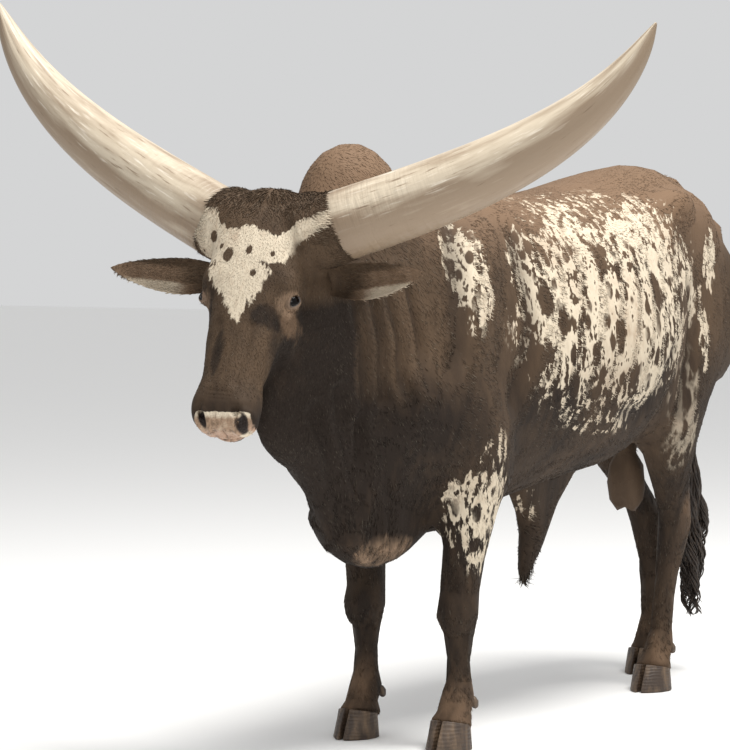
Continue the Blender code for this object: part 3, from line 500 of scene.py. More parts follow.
face = on_face(on_bull(skin))
muzzle_points = (face[:, 1] > 0.43) & (face[:, 2] > -0.16) & (np.abs(face[:, 0]) < 0.12)
pick(skin)
bpy.ops.object.mode_set(mode="EDIT")
bpy.ops.mesh.select_mode(type="VERT")
bpy.ops.mesh.select_all(action="DESELECT")
bpy.ops.object.mode_set(mode="OBJECT")
skin.data.vertices.foreach_set("select", muzzle_points)
bpy.ops.object.mode_set(mode="EDIT")
bpy.ops.mesh.subdivide(number_cuts=1, smoothness=0.6)
bpy.ops.mesh.vertices_smooth(factor=0.5, repeat=70)
bpy.ops.object.mode_set(mode="OBJECT")
face = on_face(on_bull(skin))
lift = 0.0020 * ease(face[:, 1], 0.44, 0.48) * ease(face[:, 2], -0.15, -0.12)
for way in SIDES.values():
    side = np.array((way, 1, 1))
    for centre, radii, height in HEAD_FORMS:
        lift += mound(face, side * centre, radii, height)
    lift += 0.0034 * np.exp(-(away(face, side * BROW_LINE) / 0.006) ** 2)
    lift += 0.0085 * np.exp(-(away(face, side * CREST_LINE) / 0.017) ** 2)
    lift -= 0.0050 * np.exp(-(away(face, side * NASAL_LINE) / 0.012) ** 2)
    beside = ((face[:, 0] - MUZZLE_SIDE) * way - NOSTRIL[0], face[:, 1] - NOSTRIL[1])
    across = (beside[0] * math.cos(NOSTRIL_TURN) + beside[1] * math.sin(NOSTRIL_TURN)) / 0.0100
    along = (beside[1] * math.cos(NOSTRIL_TURN) - beside[0] * math.sin(NOSTRIL_TURN)) / 0.0180
    reach = np.sqrt(across ** 2 + along ** 2 + ((face[:, 2] - NOSTRIL[2]) / 0.034) ** 2)
    lift += 0.0045 * np.exp(-((reach - 1.50) / 0.42) ** 2) - 0.0130 * np.exp(-(reach / 0.85) ** 4)
    lift += mound(face, side * (0.068, 0.510, 0.012), (0.022, 0.034, 0.030), 0.0035)
mouth = face[:, 2] - MOUTH[1] + (face[:, 1] - MOUTH[0]) * MOUTH[2]
lips = ease(face[:, 1], 0.435, 0.475)
lip_rolls = 0.0030 * np.exp(-((np.abs(mouth) - 0.012) / 0.008) ** 2)
lift += lips * (lip_rolls - 0.0060 * np.exp(-(mouth / 0.0042) ** 2))
lift += mound(face, (0.074, 0.500, -0.010), (0.028, 0.060, 0.040), 0.006)
lift += mound(face, (0.010, 0.530, -0.085), (0.046, 0.040, 0.034), 0.009)
cleft = 0.0030 * np.exp(-((face[:, 0] - MUZZLE_SIDE) / 0.0030) ** 2) * ease(face[:, 1], 0.545, 0.56)
lift -= cleft * ease(face[:, 2], -0.035, -0.02)
for level in NOSE_WRINKLES:
    lift -= 0.0016 * np.exp(-(away(face, [(-0.030, level, 0.058), (0.030, level, 0.058)]) / 0.004) ** 2)
spots = on_bull(skin) + column(skin.data.vertices, "normal") * lift[:, None]
FOREMOST = solid_box[0][1] - SHIFT.y + BOX_GAP
spots[:, 1] = np.maximum(spots[:, 1], FOREMOST)
move_points(skin, spots)


def carry(item, name, kind, numbers):
    """Let a mesh carry a value at each of its points under a name."""
    mark = item.data.attributes.new(name, kind, "POINT")
    mark.data.foreach_set("vector" if kind == "FLOAT_VECTOR" else "value", numbers.astype(np.float32).ravel())


EAR_OPENING = HEAD @ Vector((0, -0.99, -0.10))
EAR_ROOT = (0.108, 0.012, -0.168)
EAR_TIPS = {"left": (0.400, -0.048, -0.115), "right": (0.400, -0.048, -0.155)}
spots = on_bull(skin)
inner = np.zeros(len(spots))
for side, way in SIDES.items():
    ear_root = np.array((POLL + HEAD @ (Vector((way, 1, 1)) * Vector(EAR_ROOT)))[:])
    ear_tip = np.array((POLL + HEAD @ (Vector((way, 1, 1)) * Vector(EAR_TIPS[side])))[:])
    run = ear_tip - ear_root
    share = ((spots - ear_root) @ run) / (run @ run)
    above = (spots - ear_root - share[:, None] * run)[:, 2]
    near = ease(-away(spots, [ear_root + run * 0.2, ear_tip]), -0.066, -0.058) * ease(share, 0.22, 0.34)
    facing = ease(column(skin.data.vertices, "normal") @ np.array(EAR_OPENING[:]), 0.10, 0.50)
    hollow = ease(share, 0.30, 0.50) * ease(-above, -0.018, -0.006)
    inner += near * facing * (hollow + ease(-above, 0.022, 0.030) * 0.8)
carry(skin, "root", "FLOAT_VECTOR", on_bull(skin))
carry(skin, "shade", "FLOAT", np.zeros(len(inner)))
carry(skin, "inner", "FLOAT", inner)
# How deep each point lies in a fold, carried as "folded" for painted shade in the folds.
painted_fold_shade = ease(-folds(on_bull(skin)), 0.001, 0.009)
carry(skin, "folded", "FLOAT", painted_fold_shade)

# Coat colours
# Short hair, nearly black-brown on the chest and legs and warm brown on the back and hump,
# with a cream roan patch over the ribs, smaller ones on the legs, and a white blaze. Part of
# this is painted light. Painted top light makes the back and hump lighter and warmer. Painted
# shade darkens the chest, the low parts, the cheeks, the throat, the folds, the cleft of the nose,
# the nostrils and the mouth line. A painted highlight lies on the near hind leg and on the top of the nose
# pad.
DEEP_BROWN = screen(37, 29, 23)
BROWN = screen(77, 62, 48)
WARM_BROWN = screen(108, 87, 69)
TAN = screen(143, 119, 98)
CREAM = screen(200, 187, 166)
PINK = screen(164, 135, 115)
# Near-black, used as painted shade in the nostrils and the mouth line, and for the lid rims.
NOSTRIL_DARK = screen(34, 25, 21)

hide = Finish("hide", BROWN, 0.76, Specular_IOR_Level=0.22)
root = hide.mark("root", "Vector")
out, back, up = hide.parts(root)
face_side, face_down, face_front = [hide.dot(root, axis) - POLL.dot(axis)
                                    for axis in (FACE_SIDE, FACE_DOWN, FACE_FRONT)]
BULL = (out, back, up)
FACE = (face_side, face_down, face_front)


def oval(first, second, centre, radii, turn=0.0):
    """1 at the middle of a turned oval, 0 at its edge and less outside."""
    aside, beyond = first - centre[0], second - centre[1]
    across = (aside * math.cos(turn) + beyond * math.sin(turn)) / radii[0]
    along = (beyond * math.cos(turn) - aside * math.sin(turn)) / radii[1]
    return 1 - (across * across + along * along)


def ball(axes, centre, radii):
    """1 at the middle of a ball on the bull or the face, 0 at its edge and less outside."""
    aside, beyond, above = [(value - middle) / radius for value, middle, radius in zip(axes, centre, radii)]
    return 1 - (aside * aside + beyond * beyond + above * above)


def ovals(first, second, places):
    """The most of several ovals, each with its centre, its radii and its turn in degrees, if any."""
    shares = [oval(first, second, centre, radii, math.radians(turn[0] if turn else 0))
              for centre, radii, *turn in places]
    most = shares[0]
    for share in shares[1:]:
        most = most.most(share)
    return most


cloud = hide.noise(root, 4.5, 5.0, (1, 1, 0.7))
patchy = hide.noise(root, 13.0, 4.0, (1, 0.8, 0.5))
streak = hide.noise(root, 46.0, 3.0, (1, 1, 0.32), (0.5, 0, 0))
mottle = hide.noise(root, 58.0, 3.0, (1, 1, 0.42), (0.35, 0, 0))
fine = hide.noise(root, 170.0, 2.0, (1, 0.8, 0.3))
# Brown share: painted top light makes the coat lighter above 0.8 to 1.02 m. Painted shade makes it darker in
# front on the chest and below 0.7 m, over the coat's own darker chest and legs.
brown_share_with_painted_light = 0.30 + cloud * 1.5 + streak * 0.8 + up.step(0.80, 1.02) * 0.55
brown_share_with_painted_light = brown_share_with_painted_light - back.step(0.02, -0.20) * up.step(0.94, 0.82) * 0.35 - up.step(0.70, 0.45) * 0.10
# Painted shade on the sides of the face below the eyes, darkening the cheeks' dark coat where they turn from
# the light.
cheek_shade = abs(face_side).step(0.060, 0.085) - face_front.step(-0.045, -0.005) * 0.5 + patchy * 0.8
cheek_shade = cheek_shade.step(0.1, 0.8) * face_down.step(0.27, 0.33) * back.step(-0.42, -0.50)
cheek_shade = cheek_shade * (1 - face_down.step(0.42, 0.49) * 0.8)
DARK_FACE = [((0.062, 0.300), (0.034, 0.028)), ((-0.030, 0.400), (0.017, 0.055)),
             ((-0.100, 0.270), (0.038, 0.060))]
dark_face = ovals(face_side, face_down, DARK_FACE) + streak * 3.0 + patchy * 2.0
dark_face = dark_face.step(-0.2, 0.8) * back.step(-0.42, -0.50)
# Painted shade under the jaw and on the throat.
throat_shade = back.step(-0.40, -0.45) * up.step(1.14, 1.08) * face_front.step(-0.01, -0.05)
brown_share_with_painted_light = brown_share_with_painted_light - cheek_shade - dark_face * 0.7 - throat_shade
# Warm brown on the hump and upper back: partly the coat's own warm tone, partly painted top light where light
# falls from above.
hump_warmth_and_top_light = ball(BULL, (0.0, -0.25, 1.43), (0.26, 0.24, 0.20)).step(0.0, 0.5)
warmth_and_top_light = (up.step(1.12, 1.36) * back.step(-0.28, -0.05)).most(hump_warmth_and_top_light)
warmth_and_top_light = warmth_and_top_light * 1.1 + cloud * 0.8 + patchy * 0.5 - 0.10
coat = hide.mix(brown_share_with_painted_light, DEEP_BROWN, BROWN)
coat = hide.mix(warmth_and_top_light, coat, WARM_BROWN)

LEFT_FLANK = [((0.54, 1.07), (0.40, 0.28)), ((0.74, 1.20), (0.28, 0.16)), ((0.31, 1.09), (0.19, 0.21)),
              ((-0.055, 1.17), (0.062, 0.14)), ((0.72, 0.88), (0.06, 0.09)), ((1.09, 1.01), (0.035, 0.11)),
              ((0.99, 1.09), (0.05, 0.10)), ((1.15, 1.20), (0.04, 0.09))]
RIGHT_FLANK = [((0.42, 1.08), (0.36, 0.26)), ((0.66, 1.17), (0.28, 0.18)), ((0.86, 0.92), (0.12, 0.16)),
               ((0.05, 1.10), (0.07, 0.12)), ((1.05, 1.05), (0.06, 0.12)), ((0.30, 0.80), (0.14, 0.07))]
BLOTCHES = [((0.244, 1.104), (0.030, 0.055)), ((0.303, 1.053), (0.028, 0.040)),
            ((0.351, 0.874), (0.022, 0.045)), ((0.519, 1.009), (0.026, 0.048)),
            ((0.494, 1.202), (0.030, 0.050)), ((0.729, 1.121), (0.030, 0.055)),
            ((0.60, 0.90), (0.020, 0.035)), ((0.42, 0.96), (0.018, 0.036)), ((0.20, 0.96), (0.03, 0.04))]
sheath_patch = ball(BULL, (0.04, 0.530, 0.560), (0.06, 0.05, 0.05)) * 0.7 - 0.3
roan = ball(BULL, (0.19, 0.00, 0.63), (0.10, 0.085, 0.18)).most(sheath_patch)
roan = roan.most(ball(BULL, (-0.20, 0.05, 0.52), (0.08, 0.07, 0.12)))
roan = roan.most(ball(BULL, (0.26, 0.55, 0.80), (0.12, 0.24, 0.06)) * 0.6 - 0.35)
for way, flank_patches in ((1, LEFT_FLANK), (-1, RIGHT_FLANK)):
    roan = roan.most(ovals(back, up, flank_patches) - (out * way).step(0.06, 0.0) * 3)
cover = roan * 0.70 + patchy * 1.9 + mottle * 3.0 + fine * 1.2
white = cover.step(0.10, 0.34) * roan.step(-0.45, -0.10)
spotted = hide.cells(root, 31.0, (1, 1, 0.46)) + streak * 0.5
white = white * (1 - spotted.step(0.40, 0.30) * patchy.step(0.20, 0.0))
flecked = hide.cells(root, 66.0, (1, 1, 0.5)) + mottle * 0.8
white = white * (1 - flecked.step(0.26, 0.16) * 0.9)
speckles = ball(BULL, (0.24, 0.98, 0.87), (0.10, 0.07, 0.12))
speckles = speckles.most(ball(BULL, (0.23, 1.03, 0.72), (0.10, 0.06, 0.10)))
network = spotted.step(0.40, 0.56) * speckles.step(-0.4, 0.2) * (mottle + patchy).step(-0.15, 0.10)
white = white.most(network * 0.5)
for centre, radii in BLOTCHES:
    blotch = oval(back, up, centre, radii) + mottle * 2.6
    white = white * (1 - blotch.step(0.0, 0.35))

BLAZE = [((-0.030, 0.140), (0.118, 0.052)), ((-0.020, 0.192), (0.080, 0.060)),
         ((-0.010, 0.228), (0.056, 0.066)), ((0.020, 0.148), (0.088, 0.040), -12),
         ((-0.004, 0.262), (0.026, 0.062)),
         ((-0.118, 0.105), (0.082, 0.042), 62), ((0.110, 0.088), (0.096, 0.024), -36)]
BLAZE_SPOTS = [((-0.110, 0.107), (0.010, 0.013)), ((-0.055, 0.159), (0.015, 0.020)),
               ((-0.003, 0.146), (0.008, 0.013)), ((0.019, 0.202), (0.008, 0.010)),
               ((0.055, 0.150), (0.006, 0.008)), ((-0.080, 0.135), (0.006, 0.008))]
blaze = ovals(face_side, face_down, BLAZE) + streak * 1.7 + patchy * 1.1 + fine * 0.8
blaze = blaze - face_front.step(-0.015, -0.05) * 4
white_face = blaze.step(0.0, 0.22) * (1 - face_side.step(0.085, 0.105) * face_down.step(0.10, 0.12))
for centre, radii in BLAZE_SPOTS:
    white_face = white_face * (1 - (oval(face_side, face_down, centre, radii) + fine).step(0.0, 0.3))
white = white.most(white_face)
pale = hide.mix((fine + cloud * 1.5 + mottle * 1.5) * 0.8, CREAM, TAN)
coat = hide.mix(white * (0.93 + fine * 0.4), coat, pale)
# Warm brown on the pasterns, the coat's own tone. On the left hind leg below about 0.55 m it is a painted
# highlight on the lit side.
pasterns_and_hock_highlight = up.step(0.24, 0.13) + back.step(1.12, 1.15) * up.step(0.60, 0.50) * out.step(0.0, 0.03) * 0.8
coat = hide.mix(pasterns_and_hock_highlight * (patchy * 3 + 0.45).step(0.0, 1.0) * 0.8, coat, WARM_BROWN)

pinkish = (ball(BULL, (0.07, -0.21, 0.50), (0.10, 0.10, 0.06)) + patchy * 2).step(0.1, 0.7) * 0.75
eye_ring = ball(FACE, (0.103, 0.252, 0.018), (0.045, 0.036, 0.04)).most(
    ball(FACE, (-0.103, 0.252, 0.018), (0.045, 0.036, 0.04)))
eye_ring = (eye_ring + fine + patchy * 2.4).step(0.0, 0.8)
under_eye = oval(abs(face_side), face_down, (0.106, 0.285), (0.026, 0.042)) - abs(face_front + 0.01) * 12
under_eye = (under_eye + streak * 2 + patchy * 1.6).step(-0.1, 0.8)
pad = up.step(0.877, 0.863) * abs(face_side - MUZZLE_SIDE).step(0.076, 0.058) * face_down.step(0.49, 0.52)
muzzle = (pad + patchy * 0.8 + mottle).step(0.40, 0.62)
muzzle = muzzle * face_front.step(-0.075, -0.050) * back.step(-0.42, -0.50)
bare = ball(BULL, (0.0, 1.10, 0.58), (0.10, 0.11, 0.15)).step(0.0, 0.3)
coat = hide.mix(bare * 0.20, coat, TAN)
coat = hide.mix(pinkish * (0.65 + streak * 3), coat, TAN)
coat = hide.mix(under_eye * 0.8, coat, WARM_BROWN)
coat = hide.mix(eye_ring * 0.55, coat, TAN)
inside = hide.mark("inner")
coat = hide.mix(inside * 0.65, coat, hide.mix((streak + 0.2) * 2.4, TAN, WARM_BROWN))
coat = hide.mix((inside - 1.0) * 0.9, coat, CREAM)
# The nose pad is painted cream at its top, a painted highlight where it faces up, and tan below.
nose = hide.mix(up.step(0.866, 0.850) + mottle * 2.2, CREAM, TAN)
nose = hide.mix(face_front.step(0.020, -0.010), nose, PINK)
lip_corner = oval(face_side, face_front, (0.056, -0.022), (0.016, 0.022))
nose = hide.mix(lip_corner * 1.6 + fine, nose, CREAM)
nose = hide.mix((mottle - 0.02) * 4 + fine + face_front.step(-0.03, -0.055) * 0.5, nose, BROWN)
# A darker line down the cleft of the nose pad: painted shade in its groove.
cleft = abs(face_side - MUZZLE_SIDE).step(0.0040, 0.0010) * face_front.step(0.02, 0.0)
nose = hide.mix(cleft * 0.5, nose, BROWN)
coat = hide.mix(muzzle, coat, nose)
# The nostrils are painted nearly black: painted shade inside their openings.
nostril_shade = oval(abs(face_side - MUZZLE_SIDE), face_down, NOSTRIL[:2], (0.0105, 0.0190), NOSTRIL_TURN)
nostril_shade = nostril_shade - face_front.step(-0.005, -0.025)
coat = hide.mix(nostril_shade.step(-0.3, 0.4), coat, NOSTRIL_DARK)
# A dark line between the lips: painted shade in the mouth's groove.
mouth_line_shade = abs(face_front - MOUTH[1] + (face_down - MOUTH[0]) * MOUTH[2]).step(0.0045, 0.0015)
coat = hide.mix(mouth_line_shade * face_down.step(0.44, 0.47) * back.step(-0.42, -0.50), coat, NOSTRIL_DARK)
# Painted shade in the folds: their grooves are darkened towards deep brown.
coat = hide.mix(hide.mark("folded") * 0.6, coat, DEEP_BROWN)
shade = hide.mark("shade")
coat = hide.mix(shade * -0.22, coat, DEEP_BROWN)
coat = hide.mix(shade * 0.10, coat, CREAM)
pores = hide.cells(root, 250.0, (1, 1, 1)) * muzzle
hide.feed(Base_Color=coat, Roughness=0.76 - muzzle * 0.34,
          Normal=hide.bump(pores, 0.0016, hide.bump(fine, 0.0009, hide.bump(streak, 0.0016))))

skin.data.materials.clear()
skin.data.materials.append(hide.material)
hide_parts(*flesh, "ear_left", "ear_right")
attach(skin, "root")

# Horns
# Hollow horn over a core of bone, smooth cream with fine streaks along it, tan at the root,
# where low rings of growth run round it, and darker at the tips. The tan beneath is painted
# shade, and the pale flecks kept to the upper side are real flecks with painted highlight.
HORN_SPAN = 0.868
HORN_RISE = 0.53
HORN_BACK = 0.15
HORN_BEND = 1.25
HORN_STATIONS = 160
TUCK_SHARE = 0.16
HORN_CREAM = screen(184, 171, 151)
HORN_TAN = screen(134, 116, 96)
HORN_PALE = screen(222, 213, 198)
HORN_BROWN = screen(96, 76, 58)

keratin = Finish("horn_keratin", HORN_CREAM, 0.46)
grain = keratin.mark("grain", "Vector")
grain_up, grain_along = keratin.parts(grain)[1:]
long_streak = keratin.noise(grain, 3.2, 5.0, (1, 1, 1.6))
short_fleck = keratin.noise(grain, 11.0, 3.0, (1, 1, 1.2))
cloudy = keratin.noise(grain, 1.2, 4.0, (1, 1, 3.0))
# Tan streaks and clouds of the horn, with painted shade making the underside tan.
tan_and_under_shade = long_streak * 2.4 + cloudy * 2.0 + grain_up.step(0.35, -0.30) * 1.1 + 0.20
horn_coat = keratin.mix(tan_and_under_shade, HORN_CREAM, HORN_TAN)
horn_coat = keratin.mix((short_fleck - 0.10) * 5, horn_coat, HORN_TAN)
horn_coat = keratin.mix(short_fleck.step(0.16, 0.22) * 0.5, horn_coat, HORN_BROWN)
# Pale flecks only on the upper side: real flecks with painted highlight.
horn_coat = keratin.mix((-0.10 - short_fleck) * 5 * grain_up.step(-0.3, 0.2), horn_coat, HORN_PALE)
tip_share = grain_along.step(0.93, 1.12) * 0.75 + grain_along.step(0.18, 0.02) * 0.35
horn_coat = keratin.mix(tip_share + long_streak * 0.3, horn_coat, HORN_BROWN)
rings = (keratin.noise(grain, 5.0, 2.0, (0.16, 0.16, 16.0)) + 0.5) * grain_along.step(0.55, 0.10)
keratin.feed(Base_Color=horn_coat, Normal=keratin.bump(long_streak, 0.0022, keratin.bump(rings, 0.003)),
             Roughness=short_fleck * 0.4 + 0.45)


def horn_line(way):
    """Places along the middle of a horn, on the bull."""
    line = []
    for station in range(HORN_STATIONS + 1):
        part = station / HORN_STATIONS
        out = HORN_ROOT[0] + (HORN_SPAN - HORN_ROOT[0]) * math.sin(part * HORN_BEND) / math.sin(HORN_BEND)
        behind = HORN_BACK * math.sin(part * math.pi / 2) + HORN_ROOT[1]
        rise = HORN_ROOT[2] + HORN_RISE * (0.755 * part + 0.245 * part ** 3)
        line.append(POLL + HORNS @ Vector((way * out, behind, rise)))
    return np.array([point[:] for point in line])


for side, way in SIDES.items():
    horn = solid_copy("horn_" + side, "horn_" + side + "_keratin")
    edit(horn, bpy.ops.mesh.tris_convert_to_quads, face_threshold=math.radians(60),
         shape_threshold=math.radians(90))
    change(horn, "SUBSURF", levels=2, render_levels=2)
    line = horn_line(way)
    spots = on_bull(horn)
    station = np.array([np.argmin(((line - spot) ** 2).sum(1)) for spot in spots])
    runs = np.gradient(line, axis=0)
    runs /= np.linalg.norm(runs, axis=1)[:, None]
    ahead = runs[station]
    upward = np.cross(np.cross(ahead, (0, 0, 1)), ahead)
    upward /= np.linalg.norm(upward, axis=1)[:, None]
    spread = spots - line[station]
    wide = np.linalg.norm(spread, axis=1)[:, None] + 1e-6
    lengths = np.concatenate([[0], np.cumsum(np.linalg.norm(np.diff(line, axis=0), axis=1))])
    along = lengths[station] + (spread * ahead).sum(1)
    turned = np.stack([(spread * np.cross(ahead, upward)).sum(1), (spread * upward).sum(1)], 1) / wide
    tucked = TUCK_SHARE * ease(HAIRY_HORN[side] - 0.012 - along, 0.0, 0.016)
    move_points(horn, spots - (spread - ahead * (spread * ahead).sum(1)[:, None]) * tucked[:, None])
    carry(horn, "grain", "FLOAT_VECTOR", np.column_stack([turned, along]))
    horn.data.shade_smooth()
    horn.data.materials.append(keratin.material)
    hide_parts("horn_" + side)
    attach(horn, "root")

# Eyes and lids
# Dark wet eyeballs set at the sides of the head. Each opening is an almond between two
# rolled lids, the upper one heavier, with its low corner towards the muzzle.
LID_OPENING = (math.radians(50), math.radians(30))
LID_POINTS = 40
LID_ROLLS = [(0.94, -0.0030), (0.97, 0.0006), (1.00, 0.0022), (1.10, 0.0036), (1.30, 0.0042),
             (1.60, 0.0030), (1.95, 0.0), (2.0, -0.006), (1.5, -0.006), (1.1, -0.006)]
LOWER_LID = 0.85
PUPIL = screen(12, 9, 8)
LID_TAN = screen(128, 104, 84)

wet_eye = Finish("wet_eye", PUPIL, 0.16, Coat_Weight=0.08, Coat_Roughness=0.03, Specular_IOR_Level=0.14)
lid_skin = Finish("lid_skin", LID_TAN, 0.6)
where = lid_skin.node("ShaderNodeTexCoord", None, (), "Object")
wrinkles = lid_skin.noise(where, 240.0, 3.0)
rim = lid_skin.mark("rim")
lid_skin.feed(Base_Color=lid_skin.mix(rim * 1.2, lid_skin.mix(wrinkles + 0.5, LID_TAN, BROWN), NOSTRIL_DARK),
              Normal=lid_skin.bump(wrinkles, 0.0015))


def outward_mesh(name, points, faces):
    """A new object from its points and faces, with every face turned outwards."""
    mesh = bpy.data.meshes.new(name)
    mesh.from_pydata(points, [], faces)
    item = added(name, mesh)
    edit(item, bpy.ops.mesh.normals_make_consistent, inside=False)
    return item


surface = BVHTree.FromObject(skin, bpy.context.evaluated_depsgraph_get())
for side, way in SIDES.items():
    centre = face_place(way * EYE_PLACE[0], *EYE_PLACE[1:])
    bpy.ops.mesh.primitive_uv_sphere_add(segments=40, ring_count=24, radius=EYE_RADIUS, location=centre)
    eye = bpy.context.object
    eye.name = "eyeball_" + side
    pick(eye)
    bpy.ops.object.transform_apply(location=True, rotation=True, scale=True)
    eye.data.shade_smooth()
    eye.data.materials.append(wet_eye.material)
    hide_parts("eye_" + side)
    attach(eye, "root")
    gaze = (way * 0.80 * FACE_SIDE - 0.06 * FACE_DOWN + 0.58 * FACE_FRONT).normalized()
    corner = 0.88 * FACE_DOWN + 0.47 * FACE_FRONT
    corner = (corner - gaze * corner.dot(gaze)).normalized()
    brow = gaze.cross(corner) * way
    if brow.z < 0:
        brow = -brow
    lid_points, lid_faces = [], []
    for index in range(LID_POINTS):
        angle = math.tau * index / LID_POINTS
        wide, tall = LID_OPENING
        tall *= 1.0 if math.sin(angle) > 0 else LOWER_LID
        for reach, rise in LID_ROLLS:
            swing = math.cos(angle) * wide * reach
            nod = math.sin(angle) * tall * reach * (1 - 0.25 * math.cos(angle))
            nod *= 1 + 0.55 * max(0.0, reach - 1)
            aim = gaze * math.cos(swing) * math.cos(nod) + corner * math.sin(swing) + brow * math.sin(nod)
            point = centre + aim.normalized() * (EYE_RADIUS + rise)
            if reach > 1.2 and rise > -0.005:
                skin_point, normal = surface.find_nearest(point)[:2]
                share = min(1.0, (reach - 1.2) / 0.7)
                target = skin_point + normal * (0.0018 * (1 - share) - 0.0012 * share)
                point = point.lerp(target, share)
            lid_points.append(point)
    rows = len(LID_ROLLS)
    for index in range(LID_POINTS):
        following = (index + 1) % LID_POINTS
        for row in range(rows):
            beyond = (row + 1) % rows
            lid_faces.append((index * rows + row, following * rows + row,
                              following * rows + beyond, index * rows + beyond))
    lids = outward_mesh("lids_" + side, lid_points, lid_faces)
    carry(lids, "rim", "FLOAT", np.tile([float(reach < 1.05) for reach, rise in LID_ROLLS], LID_POINTS))
    change(lids, "SUBSURF", levels=1, render_levels=1)
    lids.data.shade_smooth()
    lids.data.materials.append(lid_skin.material)
    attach(lids, "root")

# Hooves
# Two claws on each foot and two small dewclaws behind, of dark horn with low rings of
# growth round them, worn flat beneath.
HOOF_DARK = screen(58, 46, 37)
HOOF_PALE = screen(112, 92, 72)

hoof_horn = Finish("hoof_horn", HOOF_DARK, 0.55)
where = hoof_horn.node("ShaderNodeTexCoord", None, (), "Object")
height = hoof_horn.parts(where)[2]
scuffs = hoof_horn.noise(where, 60.0, 4.0, (1, 1, 0.25))
growth = (height * 700 + hoof_horn.noise(where, 14.0) * 16).work("SINE")
hoof_horn.feed(Base_Color=hoof_horn.mix((scuffs + 0.08) * 2.4, HOOF_DARK, HOOF_PALE),
               Normal=hoof_horn.bump(growth, 0.0004, hoof_horn.bump(scuffs, 0.002)))
claws = [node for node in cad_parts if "claw" in node]
for node in claws:
    claw = solid_copy(node, node + "_horn")
    change(claw, "BEVEL", width=0.003, segments=3, limit_method="ANGLE", angle_limit=math.radians(38))
    bpy.ops.object.shade_smooth_by_angle(angle=math.radians(40))
    claw.data.materials.append(hoof_horn.material)
    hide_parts(node)
    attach(claw, "root")

# Tail switch
# A brush of long dark hair at the end of the tail, in wavy locks that hang together and
# curl at their tips.
RINGLETS = 11
RINGLET_LOCKS = 13
LOCK_SIDES = 5
LOCK_STEPS = 28
SWITCH_TOP = 0.640
SWITCH_LOW = 0.140
SWITCH_END = (0.018, 1.455)
GOLDEN_TURN = 0.382
HOOK_START = 0.82

rng = np.random.default_rng(11)
lock_points, lock_faces = [], []
ringlets = []
for ringlet in range(RINGLETS):
    ringlets.append(dict(bearing=math.tau * ringlet * GOLDEN_TURN, ring=math.sqrt((ringlet + 0.5) / RINGLETS),
                         wave=rng.uniform(0.010, 0.016), turn=rng.uniform(0, math.tau),
                         count=rng.uniform(2.6, 3.8), curl=rng.uniform(0.008, 0.020),
                         length=rng.uniform(0.30, 0.47) if ringlet % 3 else 0.50))
for lock in range(RINGLETS * RINGLET_LOCKS):
    own = ringlets[lock % RINGLETS]
    bearing = own["bearing"] + rng.normal(0, 0.15)
    ring = own["ring"]
    start = SWITCH_TOP - 0.04 * rng.uniform(0, 1) - (0.06 * rng.uniform(0, 1) if ring > 0.6 else 0.0)
    twist, twist_turn = rng.uniform(0.002, 0.007), rng.uniform(0, math.tau)
    thick = rng.uniform(0.0026, 0.0046)
    base = len(lock_points)
    length = min(own["length"] * rng.uniform(0.90, 1.04), start - SWITCH_LOW)
    middle = []
    for step in range(LOCK_STEPS + 1):
        part = step / LOCK_STEPS
        swell_out = (0.010 + 0.026 * math.sin(min(1.0, part * 1.1) * math.pi) ** 0.8 + 0.006 * part) * ring
        phase = own["turn"] + part * own["count"] * math.tau
        around = twist_turn + part * 9.0
        side = swell_out * math.cos(bearing) + own["wave"] * min(1.0, part * 2) * math.cos(phase)
        rear = swell_out * math.sin(bearing) + own["wave"] * min(1.0, part * 2) * math.sin(phase)
        side += twist * math.cos(around) * (1 - part * 0.6)
        rear += twist * math.sin(around) * (1 - part * 0.6)
        hook = max(0.0, part - HOOK_START) / 0.18
        side += own["curl"] * hook * hook * math.cos(own["bearing"])
        rear += own["curl"] * hook * hook * math.sin(own["bearing"])
        drop = start - length * (part - 0.05 * hook * hook * part)
        middle.append(place(SWITCH_END[0] + side, SWITCH_END[1] + rear, drop))
    for step, point in enumerate(middle[:-1]):
        run = (middle[step + 1] - middle[max(0, step - 1)]).normalized()
        across = run.cross(Vector((math.cos(bearing), math.sin(bearing), 0.3))).normalized()
        outward = across.cross(run)
        part = step / LOCK_STEPS
        radius = thick * (0.55 + 0.45 * math.sin(min(1.0, part * 3) * math.pi / 2)) * (1 - part ** 2 * 0.80)
        for corner in range(LOCK_SIDES):
            angle = math.tau * corner / LOCK_SIDES
            lock_points.append(point + (across * math.cos(angle) + outward * math.sin(angle)) * radius)
    lock_points.append(middle[-1])
    for step in range(LOCK_STEPS - 1):
        for corner in range(LOCK_SIDES):
            this = base + step * LOCK_SIDES + corner
            after = base + step * LOCK_SIDES + (corner + 1) % LOCK_SIDES
            lock_faces.append((this, after, after + LOCK_SIDES, this + LOCK_SIDES))
    last = base + (LOCK_STEPS - 1) * LOCK_SIDES
    for corner in range(LOCK_SIDES):
        lock_faces.append((last + corner, last + (corner + 1) % LOCK_SIDES, len(lock_points) - 1))
    lock_faces.append(tuple(base + corner for corner in reversed(range(LOCK_SIDES))))
switch = outward_mesh("switch_locks", lock_points, lock_faces)
switch.data.shade_smooth()
long_hair = Finish("long_hair", DEEP_BROWN, 0.55)
where = long_hair.node("ShaderNodeTexCoord", None, (), "Object")
strands = long_hair.noise(where, 220.0, 3.0, (1, 1, 0.08))
long_hair.feed(Base_Color=long_hair.mix((strands + 0.05) * 2.2, DEEP_BROWN, BROWN),
               Normal=long_hair.bump(strands, 0.003))
switch.data.materials.append(long_hair.material)
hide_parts("tail_switch")
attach(switch, "root")

